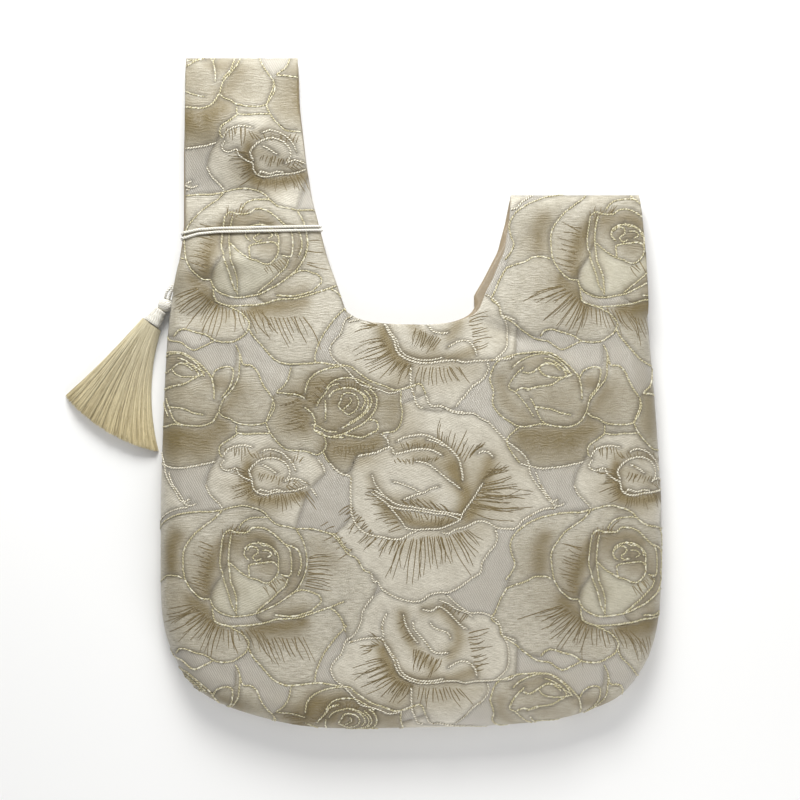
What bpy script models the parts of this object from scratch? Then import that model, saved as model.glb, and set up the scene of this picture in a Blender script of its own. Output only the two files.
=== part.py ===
"""A lined fabric knot bag for the wrist, lying on its back, with a tassel on its long strap.

The bag is two tank-top shaped panels, front and back. Each panel has a long and a short strap.
The panels are sewn together round the sides and the bottom, and at the top of each strap, so
each strap is a loop. Every panel is a brocade wall with a lining inside it. A fine cord goes
twice round the long strap, and both of its ends go into the tassel's knot.

Lengths are in metres. X runs across the bag, Y from its bottom to its straps, and Z up.
"""

import math

import bpy
import numpy as np
from mathutils.geometry import delaunay_2d_cdt

# Outline of the bag, seen from above
BODY_WIDTH = 0.240
NECK_HEIGHT = 0.1935
LONG_STRAP_TOP = 0.322
LONG_STRAP_WIDTH = 0.0537
LONG_STRAP_CENTRE = -0.0813
SHORT_STRAP_TOP = 0.256
SHORT_STRAP_WIDTH = 0.0617
SHORT_STRAP_CENTRE = 0.0788
LEFT_SEAM_TOP = 0.2075
RIGHT_SEAM_TOP = 0.1965
NECK_LEFT_CORNER = -0.0320
NECK_RIGHT_CORNER = 0.0330
NECK_CORNER_RISE = 0.0085

# Heights above the surface that the bag lies on
BAG_THICKNESS = 0.022
STRAP_LOFT = 0.012
BODY_SEAM_HEIGHT = 0.009
STRAP_SEAM_HEIGHT = 0.006
STRAP_BLEND = 0.045

# How far in from a seam the cloth takes to round over
FRONT_ROLL = 0.016
BACK_ROLL = 0.012
STRAP_END_ROLL = 0.007
TIGHTEST_CURVE = 0.0034

# Cloth
BROCADE = 0.0013
LINING = 0.0010
PLY_GAP = 0.0003
SEAM_GAP = 0.0003
LONG_STRAP_PEEK = 0.0014
SHORT_STRAP_PEEK = 0.0026

# Mesh steps: how far apart points are on the cloth, and how far in from a seam each ring is
SEAM_STEP = 0.0086
EDGE_STEP = 0.0125
CLOTH_STEP = 0.0170
SEAM_RINGS = (0.0014, 0.0045, 0.0100)
END_RINGS = (0.0012, 0.0036)
STRAP_COLUMNS = 5
CURVE_STEPS = 12

# Tassel and its cord
CORD_DIAMETER = 0.0012
CORD_GAP = 0.0003
CORD_STOPS = (0.2345, 0.2400)
KNOT_LENGTH = 0.0084
KNOT_THICKNESS = 0.0062
NECK_TOP_RADIUS = 0.0031
NECK_END_RADIUS = 0.0042
NECK_LENGTH = 0.0078
NECK_RIBS = 6
SKIRT_LENGTH = 0.0535
SKIRT_TOP_WIDTH = 0.0106
SKIRT_END_HEIGHT = 0.0058
SKIRT_SPREAD = math.radians(44)
SKIRT_LOCKS = 7
SKIRT_LOCK_DEPTH = 0.16
TASSEL_TURN = math.radians(23)
NECK_TURN = math.radians(36)
KNOT_SIDE_STEP = 0.0004
KNOT_DROP = 0.0042
FLOOR_CLEARANCE = 0.00005

# The sewn edge, from the top of the left side seam down, round the bottom and up the right side.
# across: share of half the body's width; up: share of the height of the neckline
SEWN_EDGE = [
    # across, up
    (-0.955, 1.072),
    (-0.972, 0.980),
    (-0.984, 0.860),
    (-0.993, 0.720),
    (-1.000, 0.560),
    (-1.000, 0.340),
    (-0.985, 0.247),
    (-0.945, 0.176),
    (-0.880, 0.111),
    (-0.760, 0.062),
    (-0.600, 0.028),
    (-0.440, 0.007),
    (-0.260, 0.000),
    (0.000, 0.002),
    (0.250, 0.005),
    (0.450, 0.013),
    (0.600, 0.025),
    (0.725, 0.048),
    (0.830, 0.079),
    (0.903, 0.128),
    (0.958, 0.192),
    (0.990, 0.275),
    (1.000, 0.380),
    (1.000, 0.560),
    (0.976, 0.800),
    (0.955, 0.950),
    (0.946, 1.0155),
]
BOTTOM_LEFT_ROW = 8
BOTTOM_RIGHT_ROW = 19

# The neckline between its two corners.
# across: share of its width; drop: share of the corners' height over its lowest point
NECKLINE = [
    # across, drop
    (0.000, 0.00),
    (0.045, 0.42),
    (0.160, 0.80),
    (0.330, 0.96),
    (0.480, 1.00),
    (0.630, 1.00),
    (0.780, 0.88),
    (0.890, 0.66),
    (0.965, 0.36),
    (1.000, 0.00),
]

# Each strap's edges: how much of its flare at the base is left, and how far the back panel
# stands out beyond the front panel at its left edge, as a share of the peek.
LONG_STRAP_EDGES = [
    # rise, left flare, right flare, peek
    (0.00, 1.00, 1.00, 0.0),
    (0.10, 0.62, 0.82, 0.6),
    (0.20, 0.20, 0.63, 1.0),
    (0.30, 0.00, 0.49, 1.0),
    (0.45, 0.00, 0.28, 1.0),
    (0.60, 0.00, 0.16, 1.0),
    (0.80, 0.00, 0.04, 0.7),
    (1.00, 0.00, 0.00, 0.0),
]
SHORT_STRAP_EDGES = [
    # rise, left flare, right flare, peek
    (0.00, 1.00, 1.00, 0.9),
    (0.12, 0.84, 1.00, 1.0),
    (0.25, 0.60, 0.94, 1.0),
    (0.50, 0.22, 0.76, 0.9),
    (0.75, 0.07, 0.41, 0.5),
    (1.00, 0.00, 0.00, 0.0),
]

# Soft folds and dents of the front panel. across and up are shares of half the body's width and
# of the neckline's height; length, width and rise are shares of the bag's thickness.
FOLDS = [
    # across, up, length, width, turn in degrees, rise
    (-0.76, 1.165, 0.90, 0.26, 8, 0.050),
    (-0.78, 1.070, 1.00, 0.27, 14, -0.105),
    (-0.86, 0.990, 0.85, 0.28, 4, 0.045),
    (0.37, 0.985, 0.65, 0.22, -24, -0.090),
    (0.31, 0.930, 0.70, 0.24, -18, 0.045),
    (0.08, 0.985, 0.22, 0.13, 90, 0.040),
    (0.75, 0.100, 0.95, 0.34, 38, -0.080),
    (-0.30, 0.560, 2.60, 0.80, 25, 0.030),
    (0.45, 0.420, 2.60, 0.90, -30, 0.028),
    (-0.10, 0.220, 3.00, 0.70, 8, -0.030),
]

# The cord's way from the knot up between the front and back straps, in metres
CORD_START = [
    # x, y, z
    (-0.1163, 0.2064, 0.0062),
    (-0.1152, 0.2094, 0.0076),
    (-0.1136, 0.2124, 0.0080),
    (-0.1110, 0.2164, 0.0081),
    (-0.1072, 0.2214, 0.0080),
    (-0.1034, 0.2268, 0.0081),
]
# Its two turns round the front half of the long strap. A turn starts at the strap's left edge,
# underneath, and the level is how far up the strap it is there.
CORD_TURNS = [
    # turns, level
    (0.08, 0.2318),
    (0.14, 0.2340),
    (0.26, 0.2368),
    (0.46, 0.2386),
    (0.52, 0.2388),
    (0.62, 0.2386),
    (0.86, 0.2379),
    (0.92, 0.2370),
    (0.96, 0.2352),
    (1.00, 0.2342),
    (1.04, 0.2345),
    (1.12, 0.2366),
    (1.26, 0.2388),
    (1.46, 0.2404),
    (1.52, 0.2406),
    (1.62, 0.2404),
    (1.86, 0.2397),
    (1.92, 0.2390),
    (1.96, 0.2378),
    (1.99, 0.2368),
]
# Its way back down to the knot, in metres
CORD_END = [
    # x, y, z
    (-0.1098, 0.2366, 0.0088),
    (-0.1090, 0.2355, 0.0068),
    (-0.1080, 0.2332, 0.0058),
    (-0.1078, 0.2290, 0.0057),
    (-0.1092, 0.2220, 0.0058),
    (-0.1120, 0.2158, 0.0061),
    (-0.1152, 0.2118, 0.0070),
    (-0.1174, 0.2094, 0.0068),
    (-0.1184, 0.2066, 0.0060),
]
CORD_POINTS = 72
CORD_BEVEL = 2

BROCADE_COLOUR = (0.62, 0.58, 0.49)
LINING_COLOUR = (0.60, 0.50, 0.38)
CORD_COLOUR = (0.86, 0.84, 0.78)
SILK_COLOUR = (0.60, 0.53, 0.34)

HALF_WIDTH = BODY_WIDTH / 2
LINED_WALL = BROCADE + PLY_GAP + LINING


def smooth_path(points, steps=CURVE_STEPS):
    """A smooth path through the points, with this many steps from each to the next."""
    rows = np.asarray(points, float)
    before = np.vstack([2 * rows[0] - rows[1], rows[:-1]])
    after = np.vstack([rows[1:], 2 * rows[-1] - rows[-2]])
    tangents = (after - before) / 2
    path = [rows[0]]
    for first, last, leave, arrive in zip(rows, rows[1:], tangents, tangents[1:], strict=False):
        for step in range(1, steps + 1):
            t = step / steps
            path.append(
                (2 * t**3 - 3 * t**2 + 1) * first
                + (t**3 - 2 * t**2 + t) * leave
                + (3 * t**2 - 2 * t**3) * last
                + (t**3 - t**2) * arrive
            )
    return np.array(path)


def along(path, shares):
    """The points at these shares of a path's length."""
    run = np.concatenate([[0], np.cumsum(np.linalg.norm(np.diff(path, axis=0), axis=1))])
    wanted = np.asarray(shares) * run[-1]
    return np.stack([np.interp(wanted, run, path[:, axis]) for axis in range(path.shape[1])], axis=1)


def eased(share):
    """A smooth step from 0 to 1."""
    t = np.clip(share, 0, 1)
    return t * t * (3 - 2 * t)


def quarter_round(share):
    """The height of a quarter ellipse, 0 at its foot and 1 where it is level."""
    t = np.clip(share, 0, 1)
    return np.sqrt(1 - (1 - t) ** 2)


SEWN_CORNERS = np.array(SEWN_EDGE) * (HALF_WIDTH, NECK_HEIGHT)
SEWN_CORNERS[0, 1] = LEFT_SEAM_TOP
SEWN_CORNERS[-1, 1] = RIGHT_SEAM_TOP
SEWN_PATH = smooth_path(SEWN_CORNERS)


def seam_distance(points):
    """How far each point is from the sewn edge, and the way out across that edge."""
    start, end = SEWN_PATH[:-1], SEWN_PATH[1:]
    run = end - start
    offset = points[:, None, :] - start[None, :, :]
    share = np.clip((offset * run).sum(2) / (run * run).sum(1), 0, 1)
    apart = offset - share[:, :, None] * run
    distances = np.linalg.norm(apart, axis=2)
    nearest = distances.argmin(axis=1)
    way = np.stack([run[nearest, 1], -run[nearest, 0]], axis=1)
    way /= np.linalg.norm(way, axis=1)[:, None]
    return distances[np.arange(len(points)), nearest], way


def strap_top(points):
    """The level of the strap top above each point: the long strap's on the left."""
    return np.where(points[:, 0] < (NECK_LEFT_CORNER + NECK_RIGHT_CORNER) / 2, LONG_STRAP_TOP, SHORT_STRAP_TOP)


def seam_height(points):
    """The height of the seams, which comes down from the body to the strap tops."""
    rise = eased((points[:, 1] - NECK_HEIGHT) / STRAP_BLEND)
    return BODY_SEAM_HEIGHT + (STRAP_SEAM_HEIGHT - BODY_SEAM_HEIGHT) * rise


def fold_rise(points):
    """The sum of the soft folds at each point."""
    rise = np.zeros(len(points))
    for across, up, length, width, turn, height in FOLDS:
        offset = points - np.array((across * HALF_WIDTH, up * NECK_HEIGHT))
        cosine, sine = math.cos(math.radians(turn)), math.sin(math.radians(turn))
        lengthways = offset[:, 0] * cosine + offset[:, 1] * sine
        sideways = offset[:, 1] * cosine - offset[:, 0] * sine
        reach = (lengthways / length) ** 2 + (sideways / width) ** 2
        rise += height * np.exp(-reach / BAG_THICKNESS**2)
    return rise * BAG_THICKNESS


def rounded(away, top_gap, crown, roll):
    """The share of its full height that cloth has reached this far from its seam and strap top."""
    reach = np.minimum(roll, crown**2 / TIGHTEST_CURVE)
    return quarter_round(away / reach) * quarter_round(top_gap / STRAP_END_ROLL)


def front_height(points):
    """The top of the front panel over each point."""
    away, _ = seam_distance(points)
    rise = eased((points[:, 1] - NECK_HEIGHT + STRAP_BLEND * 0.1) / STRAP_BLEND)
    belly = BAG_THICKNESS * (1 - 0.16 * (points[:, 0] / HALF_WIDTH) ** 2)
    belly *= 1 - 0.22 * eased(points[:, 1] / NECK_HEIGHT - 0.35)
    level = belly + (STRAP_LOFT - belly) * rise + fold_rise(points)
    seam = seam_height(points)
    crown = level - seam
    return seam + crown * rounded(away, strap_top(points) - points[:, 1], crown, FRONT_ROLL)


def back_height(points):
    """The underside of the back panel over each point."""
    away, _ = seam_distance(points)
    seam = seam_height(points)
    return seam * (1 - rounded(away, strap_top(points) - points[:, 1], seam, BACK_ROLL))


def way_out(points, height, facing):
    """Unit vectors out of the cloth: facing is 1 for the front panel's top, -1 for the back's underside."""
    step = 0.0002
    slope = [
        (height(points + shift) - height(points - shift)) / (2 * step) for shift in ((step, 0), (0, step))
    ]
    out = np.stack([-slope[0] * facing, -slope[1] * facing, np.full(len(points), float(facing))], axis=1)
    return out / np.linalg.norm(out, axis=1)[:, None]


def strap_edges(rows, edges, base_left, base_right, top_left, top_right, top, peek):
    """The left and right edge points of a strap at these shares of its rise."""
    table = np.array(edges)
    left_flare, right_flare, peeks = (np.interp(rows, table[:, 0], table[:, column]) for column in (1, 2, 3))
    left_x = top_left + (base_left[0] - top_left) * left_flare - peek * peeks
    left_x[0] = base_left[0]
    right_x = top_right + (base_right[0] - top_right) * right_flare
    left = np.stack([left_x, base_left[1] + (top - base_left[1]) * rows], axis=1)
    right = np.stack([right_x, base_right[1] + (top - base_right[1]) * rows], axis=1)
    return left, right


def filled(levels, step):
    """The levels in order, with more between any two that are further apart than a step."""
    rows = [min(levels)]
    for level in sorted(levels)[1:]:
        parts = math.ceil((level - rows[-1]) / step)
        rows += [rows[-1] + (level - rows[-1]) * (part + 1) / parts for part in range(parts)]
    return np.array(rows)


def spread(path, step):
    """Points spread evenly along a path, about a step apart."""
    length = np.linalg.norm(np.diff(path, axis=0), axis=1).sum()
    return along(path, np.linspace(0, 1, math.ceil(length / step) + 1))


def strap_grid(edges, base, centre, width, top, peek, seam_end, stops):
    """A strap's points by row and column, from its base line up. seam_end is the column at its
    side seam, where the rows follow the rings of the seam."""
    length = top - base[seam_end][1]
    near_base = [0, *SEAM_RINGS]
    near_end = [length - ring for ring in (0, *END_RINGS, STRAP_END_ROLL)]
    rows = filled(near_base + near_end + [stop - base[seam_end][1] for stop in stops], EDGE_STEP) / length
    left, right = strap_edges(rows, edges, base[0], base[-1], centre - width / 2, centre + width / 2, top, peek)
    across = np.linspace(0, 1, STRAP_COLUMNS + 1)[None, :, None]
    return left[:, None] + (right - left)[:, None] * across


def apart_from(points, taken, gap):
    """Those of the points that are at least a gap from all the taken points and from each other."""
    kept = []
    for point in points:
        others = np.array([*taken, *kept])
        if np.linalg.norm(others - point, axis=1).min() >= gap:
            kept.append(point)
    return kept


def panel_cloth(peeks):
    """One panel, flat: its points, its triangles, and its sewn points with their way out.

    peeks is 1 for the back panel, whose straps stand out a little to the left, and 0 for the front.
    """
    corner_rise = np.array((0, NECK_HEIGHT + NECK_CORNER_RISE))
    neck_left = corner_rise + (NECK_LEFT_CORNER, 0)
    neck_right = corner_rise + (NECK_RIGHT_CORNER - SHORT_STRAP_PEEK * SHORT_STRAP_EDGES[0][3] * peeks, 0)
    table = np.array(NECKLINE)
    neck_points = neck_left + (neck_right - neck_left) * table[:, :1]
    neck_points[:, 1] -= NECK_CORNER_RISE * table[:, 1]
    neck = spread(smooth_path(neck_points), EDGE_STEP * 0.7)

    seam = spread(SEWN_PATH, SEAM_STEP)
    long_strap = strap_grid(
        LONG_STRAP_EDGES, (seam[0], neck_left), LONG_STRAP_CENTRE, LONG_STRAP_WIDTH, LONG_STRAP_TOP,
        LONG_STRAP_PEEK * peeks, 0, CORD_STOPS
    )
    short_strap = strap_grid(
        SHORT_STRAP_EDGES, (neck_right, seam[-1]), SHORT_STRAP_CENTRE, SHORT_STRAP_WIDTH, SHORT_STRAP_TOP,
        SHORT_STRAP_PEEK * peeks, 1, ()
    )
    outline = [*seam]
    for strap, before in ((short_strap, None), (long_strap, neck[::-1])):
        if before is not None:
            outline += [*before]
        outline += [*strap[1:, -1], *strap[-1, -2:0:-1], *strap[:0:-1, 0]]
    count = len(outline)

    _, ways = seam_distance(seam)
    ways = (ways + np.vstack([ways[:1], ways[:-1]])) / 2
    ways /= np.linalg.norm(ways, axis=1)[:, None]
    inside = [point - way * ring for ring in SEAM_RINGS for point, way in zip(seam, ways, strict=True)]
    for end, turn in ((seam[0], math.pi / 4), (seam[-1], math.pi * 3 / 4)):
        inside += [end + ring * np.array((math.cos(turn), math.sin(turn))) for ring in SEAM_RINGS]
    inside = apart_from(inside, outline, SEAM_RINGS[0] * 0.7)
    taken = [*outline, *inside]
    gap = CLOTH_STEP * 0.62
    for strap in (long_strap, short_strap):
        ends = apart_from([*strap[-4:-1, 1:-1].reshape(-1, 2)], taken, END_RINGS[0] * 0.7)
        taken += ends
        inside += ends
        rows = apart_from([*strap[1:-4, 1:-1].reshape(-1, 2)], taken, gap * 0.7)
        taken += rows
        inside += rows
    body = []
    for row in range(int(NECK_HEIGHT / CLOTH_STEP) + 3):
        for column in range(-9, 10):
            across = (column + 0.5 * (row % 2)) * CLOTH_STEP
            body.append(np.array((across, (row + 0.9) * CLOTH_STEP * 0.87)))
    away, _ = seam_distance(np.array(body))
    ceiling = np.interp(
        np.array(body)[:, 0], [SEWN_PATH[0][0], *neck[:, 0], SEWN_PATH[-1][0]],
        [LEFT_SEAM_TOP, *(neck[:, 1] - CLOTH_STEP * 0.4), RIGHT_SEAM_TOP]
    )
    held = [
        point for point, gone, top in zip(body, away, ceiling, strict=True)
        if gone > SEAM_RINGS[-1] * 1.4 and abs(point[0]) < HALF_WIDTH * 0.93 and point[1] < top
    ]
    inside += apart_from(held, taken, gap)

    spots = [*outline, *inside]
    loop = [(point, (point + 1) % count) for point in range(count)]
    found, _, faces, _, _, _ = delaunay_2d_cdt([tuple(spot) for spot in spots], loop, [], 1, 1e-7)
    used = sorted({point for face in faces for point in face})
    renamed = {point: n for n, point in enumerate(used)}
    flat = np.array([tuple(found[point]) for point in used])
    triangles = [tuple(renamed[point] for point in face) for face in faces]
    triangles = [face if turned_left(*flat[list(face)]) else face[::-1] for face in triangles]

    seams = {}
    end_rows = np.vstack([long_strap[-1], short_strap[-1]])
    for n, point in enumerate(flat):
        near = np.linalg.norm(seam - point, axis=1)
        if near.min() < 1e-6:
            seams[n] = ways[near.argmin()]
        elif np.linalg.norm(end_rows - point, axis=1).min() < 1e-6:
            seams[n] = np.array((0.0, 1.0))
    return flat, triangles, seams


def turned_left(a, b, c):
    """Whether the triangle goes anticlockwise."""
    return (b[0] - a[0]) * (c[1] - a[1]) > (b[1] - a[1]) * (c[0] - a[0])


def panel_layer(flat, seams, facing, depth):
    """The points of the cloth this deep under a panel's outer face."""
    height = front_height if facing > 0 else back_height
    out = way_out(flat, height, facing)
    base = np.column_stack([flat, height(flat)])
    seam = seam_height(flat)
    for point, way in seams.items():
        out[point] = (way[0], way[1], 0)
        base[point, 2] = seam[point] + facing * SEAM_GAP / 2
    return base - depth * out


def finish(name, mesh, colour, roughness):
    """The mesh as a named object with its own material."""
    thing = bpy.data.objects.new(name, mesh)
    bpy.context.scene.collection.objects.link(thing)
    material = bpy.data.materials.new(name)
    material.use_nodes = True
    shader = material.node_tree.nodes["Principled BSDF"]
    shader.inputs["Base Color"].default_value = (*colour, 1)
    shader.inputs["Roughness"].default_value = roughness
    shader.inputs["Metallic"].default_value = 0
    thing.data.materials.append(material)
    return thing


def mesh_from(name, points, faces):
    mesh = bpy.data.meshes.new(name)
    mesh.from_pydata([tuple(point) for point in points], [], faces)
    mesh.shade_smooth()
    mesh.set_sharp_from_angle(angle=math.radians(50))
    return mesh


def cloth_panel(name, facing, outer_depth, inner_depth, colour, roughness):
    """One ply of a panel as a closed solid: two faces and the rim between them."""
    flat, cloth, seams = panel_cloth(peeks=0 if facing > 0 else 1)
    outside = panel_layer(flat, seams, facing, outer_depth)
    inside = panel_layer(flat, seams, facing, inner_depth)
    count = len(flat)
    edges = {edge for face in cloth for edge in zip(face, face[1:] + face[:1], strict=True)}
    rim = [
        (end, start, start + count, end + count) for start, end in edges if (end, start) not in edges
    ]
    faces = cloth + [tuple(point + count for point in face[::-1]) for face in cloth] + sorted(rim)
    if facing < 0:
        faces = [face[::-1] for face in faces]
    mesh = mesh_from(name, np.vstack([outside, inside]), faces)
    return finish(name, mesh, colour, roughness)


def turned(name, profile, sides, colour, roughness):
    """A closed solid turned about its own Z from (radius, height) pairs, bottom to top."""
    points, faces = [(0, 0, profile[0][1])], []
    for radius, height in profile:
        for side in range(sides):
            turn = 2 * math.pi * side / sides
            points.append((radius * math.cos(turn), radius * math.sin(turn), height))
    points.append((0, 0, profile[-1][1]))
    last = len(points) - 1
    for side in range(sides):
        after = (side + 1) % sides
        faces.append((0, 1 + after, 1 + side))
        for ring in range(len(profile) - 1):
            low, high = 1 + ring * sides, 1 + (ring + 1) * sides
            faces.append((low + side, low + after, high + after, high + side))
        top = 1 + (len(profile) - 1) * sides
        faces.append((last, top + side, top + after))
    return finish(name, mesh_from(name, points, faces), colour, roughness)


def tassel_places():
    """The centres of the knot, of both ends of the neck, and of the top of the skirt."""
    seam_top = SEWN_PATH[0]
    knot = np.array((
        seam_top[0] - KNOT_LENGTH / 2 + KNOT_SIDE_STEP,
        seam_top[1] - KNOT_DROP,
        FLOOR_CLEARANCE + NECK_END_RADIUS,
    ))
    down = np.array((-math.sin(NECK_TURN), -math.cos(NECK_TURN), 0))
    neck_top = knot + down * (KNOT_THICKNESS / 2 + PLY_GAP)
    neck_end = neck_top + down * NECK_LENGTH
    return knot, neck_top, neck_end, neck_end + down * PLY_GAP


def make_knot():
    knot, _, _, _ = tassel_places()
    rings, sides = 8, 14
    profile = []
    for ring in range(rings + 1):
        turn = math.pi * (0.08 + 0.84 * ring / rings)
        profile.append((math.sin(turn) * KNOT_THICKNESS / 2, -math.cos(turn) * KNOT_LENGTH / 2))
    thing = turned("tassel_knot", profile, sides, CORD_COLOUR, 0.6)
    thing.rotation_euler = (0, math.pi / 2, -NECK_TURN / 3)
    thing.location = knot
    return thing


def make_neck():
    """The head of the tassel, wound with thread that stands out in ribs."""
    _, _, neck_end, _ = tassel_places()
    profile = []
    steps = 2 * NECK_RIBS
    for step in range(steps + 1):
        share = step / steps
        radius = NECK_END_RADIUS + (NECK_TOP_RADIUS - NECK_END_RADIUS) * share
        rib = 0 if step % 2 else -0.05
        profile.append((radius * (1 + rib), NECK_LENGTH * share))
    thing = turned("tassel_neck", profile, 14, CORD_COLOUR, 0.6)
    thing.rotation_euler = (-math.pi / 2, 0, -NECK_TURN)
    thing.location = neck_end
    return thing


def make_skirt():
    """The cut silk threads, spread on the surface in locks that are joined under the neck."""
    _, _, _, top = tassel_places()
    rows, columns = 7, 4 * SKIRT_LOCKS
    points = {}
    across = np.array((math.cos(NECK_TURN), -math.sin(NECK_TURN)))
    for j in range(rows + 1):
        s = j / rows
        for i in range(columns + 1):
            a = -1 + 2 * i / columns
            start = top[:2] + across * a * SKIRT_TOP_WIDTH / 2
            heading = TASSEL_TURN + (NECK_TURN - TASSEL_TURN) * 0.5 * (1 - s) - a * SKIRT_SPREAD / 2 * (0.55 + 0.45 * s)
            length = SKIRT_LENGTH * s * (1 + 0.05 * a)
            place = start - length * np.array((math.sin(heading), math.cos(heading)))
            lock = 1 - SKIRT_LOCK_DEPTH * s * (0.5 - 0.5 * math.cos(2 * math.pi * i / 4))
            crown = (1 - abs(a) ** 2.6) ** 0.5
            height = 2 * NECK_END_RADIUS + (SKIRT_END_HEIGHT - 2 * NECK_END_RADIUS) * eased(s * 1.4)
            points[(i, j, 1)] = (*place, FLOOR_CLEARANCE + height * (0.12 + 0.88 * crown * lock))
            points[(i, j, 0)] = (*place, FLOOR_CLEARANCE + height * 0.06 * (1 - crown))
    index = {key: n for n, key in enumerate(points)}
    faces = []
    for j in range(rows):
        for i in range(columns):
            corners = ((i, j), (i, j + 1), (i + 1, j + 1), (i + 1, j))
            faces.append(tuple(index[(*corner, 1)] for corner in corners))
            faces.append(tuple(index[(*corner, 0)] for corner in corners[::-1]))
        for i, turn in ((0, 1), (columns, -1)):
            side = [index[(i, j, 1)], index[(i, j, 0)], index[(i, j + 1, 0)], index[(i, j + 1, 1)]]
            faces.append(tuple(side[::turn]))
    for i in range(columns):
        for j, turn in ((0, 1), (rows, -1)):
            end = [index[(i, j, 1)], index[(i + 1, j, 1)], index[(i + 1, j, 0)], index[(i, j, 0)]]
            faces.append(tuple(end[::turn]))
    mesh = mesh_from("tassel_skirt", list(points.values()), faces)
    return finish("tassel_skirt", mesh, SILK_COLOUR, 0.45)


def round_strap(level):
    """The taut way of the cord round the front half of the long strap at this level, from its
    left edge underneath: x, z pairs with the share of the turn that each is at."""
    half = LONG_STRAP_WIDTH / 2
    sides = strap_edges(
        np.linspace(0, 1, 60), LONG_STRAP_EDGES, SEWN_PATH[0], (NECK_LEFT_CORNER, NECK_HEIGHT + NECK_CORNER_RISE),
        LONG_STRAP_CENTRE - half, LONG_STRAP_CENTRE + half, LONG_STRAP_TOP, 0
    )
    left, right = (np.interp(level, side[:, 1], side[:, 0]) for side in sides)
    row = np.column_stack([np.linspace(left, right, 40), np.full(40, level)])
    top = front_height(row)
    section = np.vstack([
        np.column_stack([row[:, 0], top]),
        np.column_stack([row[:, 0], top - LINED_WALL]),
    ])
    ways = np.radians(np.arange(-135, 225, 3))
    out = np.column_stack([np.cos(ways), np.sin(ways)])
    held = section[(section @ out.T).argmax(axis=0)] + out * (CORD_DIAMETER / 2 + CORD_GAP)
    held = np.vstack([held, held[:1]])
    run = np.concatenate([[0], np.cumsum(np.linalg.norm(np.diff(held, axis=0), axis=1))])
    return held, run / run[-1]


def bent_steps(path, count):
    """Points on a path: half of them spread by its length, and half by how much it bends."""
    run = np.diff(path, axis=0)
    lengths = np.linalg.norm(run, axis=1)
    ways = run / lengths[:, None]
    bends = np.arccos(np.clip((ways[1:] * ways[:-1]).sum(1), -1, 1))
    bends = np.concatenate([[0], bends])
    share = np.concatenate([[0], np.cumsum(lengths / lengths.sum() + bends / bends.sum())]) / 2
    wanted = np.linspace(0, 1, count)
    return np.stack([np.interp(wanted, share, path[:, axis]) for axis in range(3)], axis=1)


def cord_path():
    """The points of the cord's centre line."""
    turns = np.array(CORD_TURNS)
    wound = []
    for step in np.arange(turns[0, 0], turns[-1, 0], 0.002):
        level = np.interp(step, turns[:, 0], turns[:, 1])
        held, shares = round_strap(level)
        across, height = (np.interp(step % 1, shares, held[:, axis]) for axis in (0, 1))
        wound.append((across, level, height))
    route = np.vstack([smooth_path(CORD_START), wound, smooth_path(CORD_END)])
    return bent_steps(route, CORD_POINTS)


def make_cord():
    """The cord as a curve with a round section along its route."""
    path = cord_path()
    curve = bpy.data.curves.new("tassel_cord", "CURVE")
    curve.dimensions = "3D"
    curve.bevel_depth = CORD_DIAMETER / 2
    curve.bevel_resolution = CORD_BEVEL
    curve.use_fill_caps = True
    spline = curve.splines.new("POLY")
    spline.points.add(len(path) - 1)
    for point, place in zip(spline.points, path, strict=True):
        point.co = (*place, 1)
    return finish("tassel_cord", curve, CORD_COLOUR, 0.6)


def main():
    for thing in list(bpy.data.objects):
        bpy.data.objects.remove(thing)
    lining_start = BROCADE + PLY_GAP
    pieces = [
        cloth_panel("front_panel", 1, 0, BROCADE, BROCADE_COLOUR, 0.55),
        cloth_panel("back_panel", -1, 0, BROCADE, BROCADE_COLOUR, 0.55),
        cloth_panel("front_lining", 1, lining_start, LINED_WALL, LINING_COLOUR, 0.4),
        cloth_panel("back_lining", -1, lining_start, LINED_WALL, LINING_COLOUR, 0.4),
        make_cord(),
        make_knot(),
        make_neck(),
        make_skirt(),
    ]
    bpy.context.view_layer.update()
    corners = [
        piece.matrix_world @ vertex.co for piece in pieces if piece.type == "MESH" for vertex in piece.data.vertices
    ]
    lowest = np.min(corners, axis=0)
    highest = np.max(corners, axis=0)
    centre = bpy.data.objects.new("bag_centre", None)
    bpy.context.scene.collection.objects.link(centre)
    centre.location = (-(lowest[0] + highest[0]) / 2, -(lowest[1] + highest[1]) / 2, -lowest[2])
    for piece in pieces:
        piece.parent = centre


main()
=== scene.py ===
"""The looks of a lined brocade knot bag for the wrist, with a tassel on its long strap.

Lengths are in metres. Flat points are in the pattern's own frame, with X across the bag from its
middle and Y up from its bottom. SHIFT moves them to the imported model's frame.
"""

import math

import bpy
import numpy as np
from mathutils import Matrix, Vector
from mathutils.bvhtree import BVHTree
from mathutils.geometry import delaunay_2d_cdt
from mathutils.kdtree import KDTree


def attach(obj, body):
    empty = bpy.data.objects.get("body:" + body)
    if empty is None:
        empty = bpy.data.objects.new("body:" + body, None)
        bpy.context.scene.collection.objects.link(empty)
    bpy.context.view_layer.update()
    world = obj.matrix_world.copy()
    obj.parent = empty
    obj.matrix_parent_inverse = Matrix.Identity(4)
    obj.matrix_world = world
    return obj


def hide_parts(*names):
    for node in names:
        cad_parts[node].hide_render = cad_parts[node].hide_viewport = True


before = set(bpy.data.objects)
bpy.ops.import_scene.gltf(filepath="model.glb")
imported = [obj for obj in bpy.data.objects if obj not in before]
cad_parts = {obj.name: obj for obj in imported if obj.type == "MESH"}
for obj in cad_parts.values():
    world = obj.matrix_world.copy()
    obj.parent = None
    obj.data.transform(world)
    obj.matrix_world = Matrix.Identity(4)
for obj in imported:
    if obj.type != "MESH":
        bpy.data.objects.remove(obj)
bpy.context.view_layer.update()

SHIFT = np.array((0.022563, -0.160981, 0.0))
rng = np.random.default_rng(7)

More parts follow.
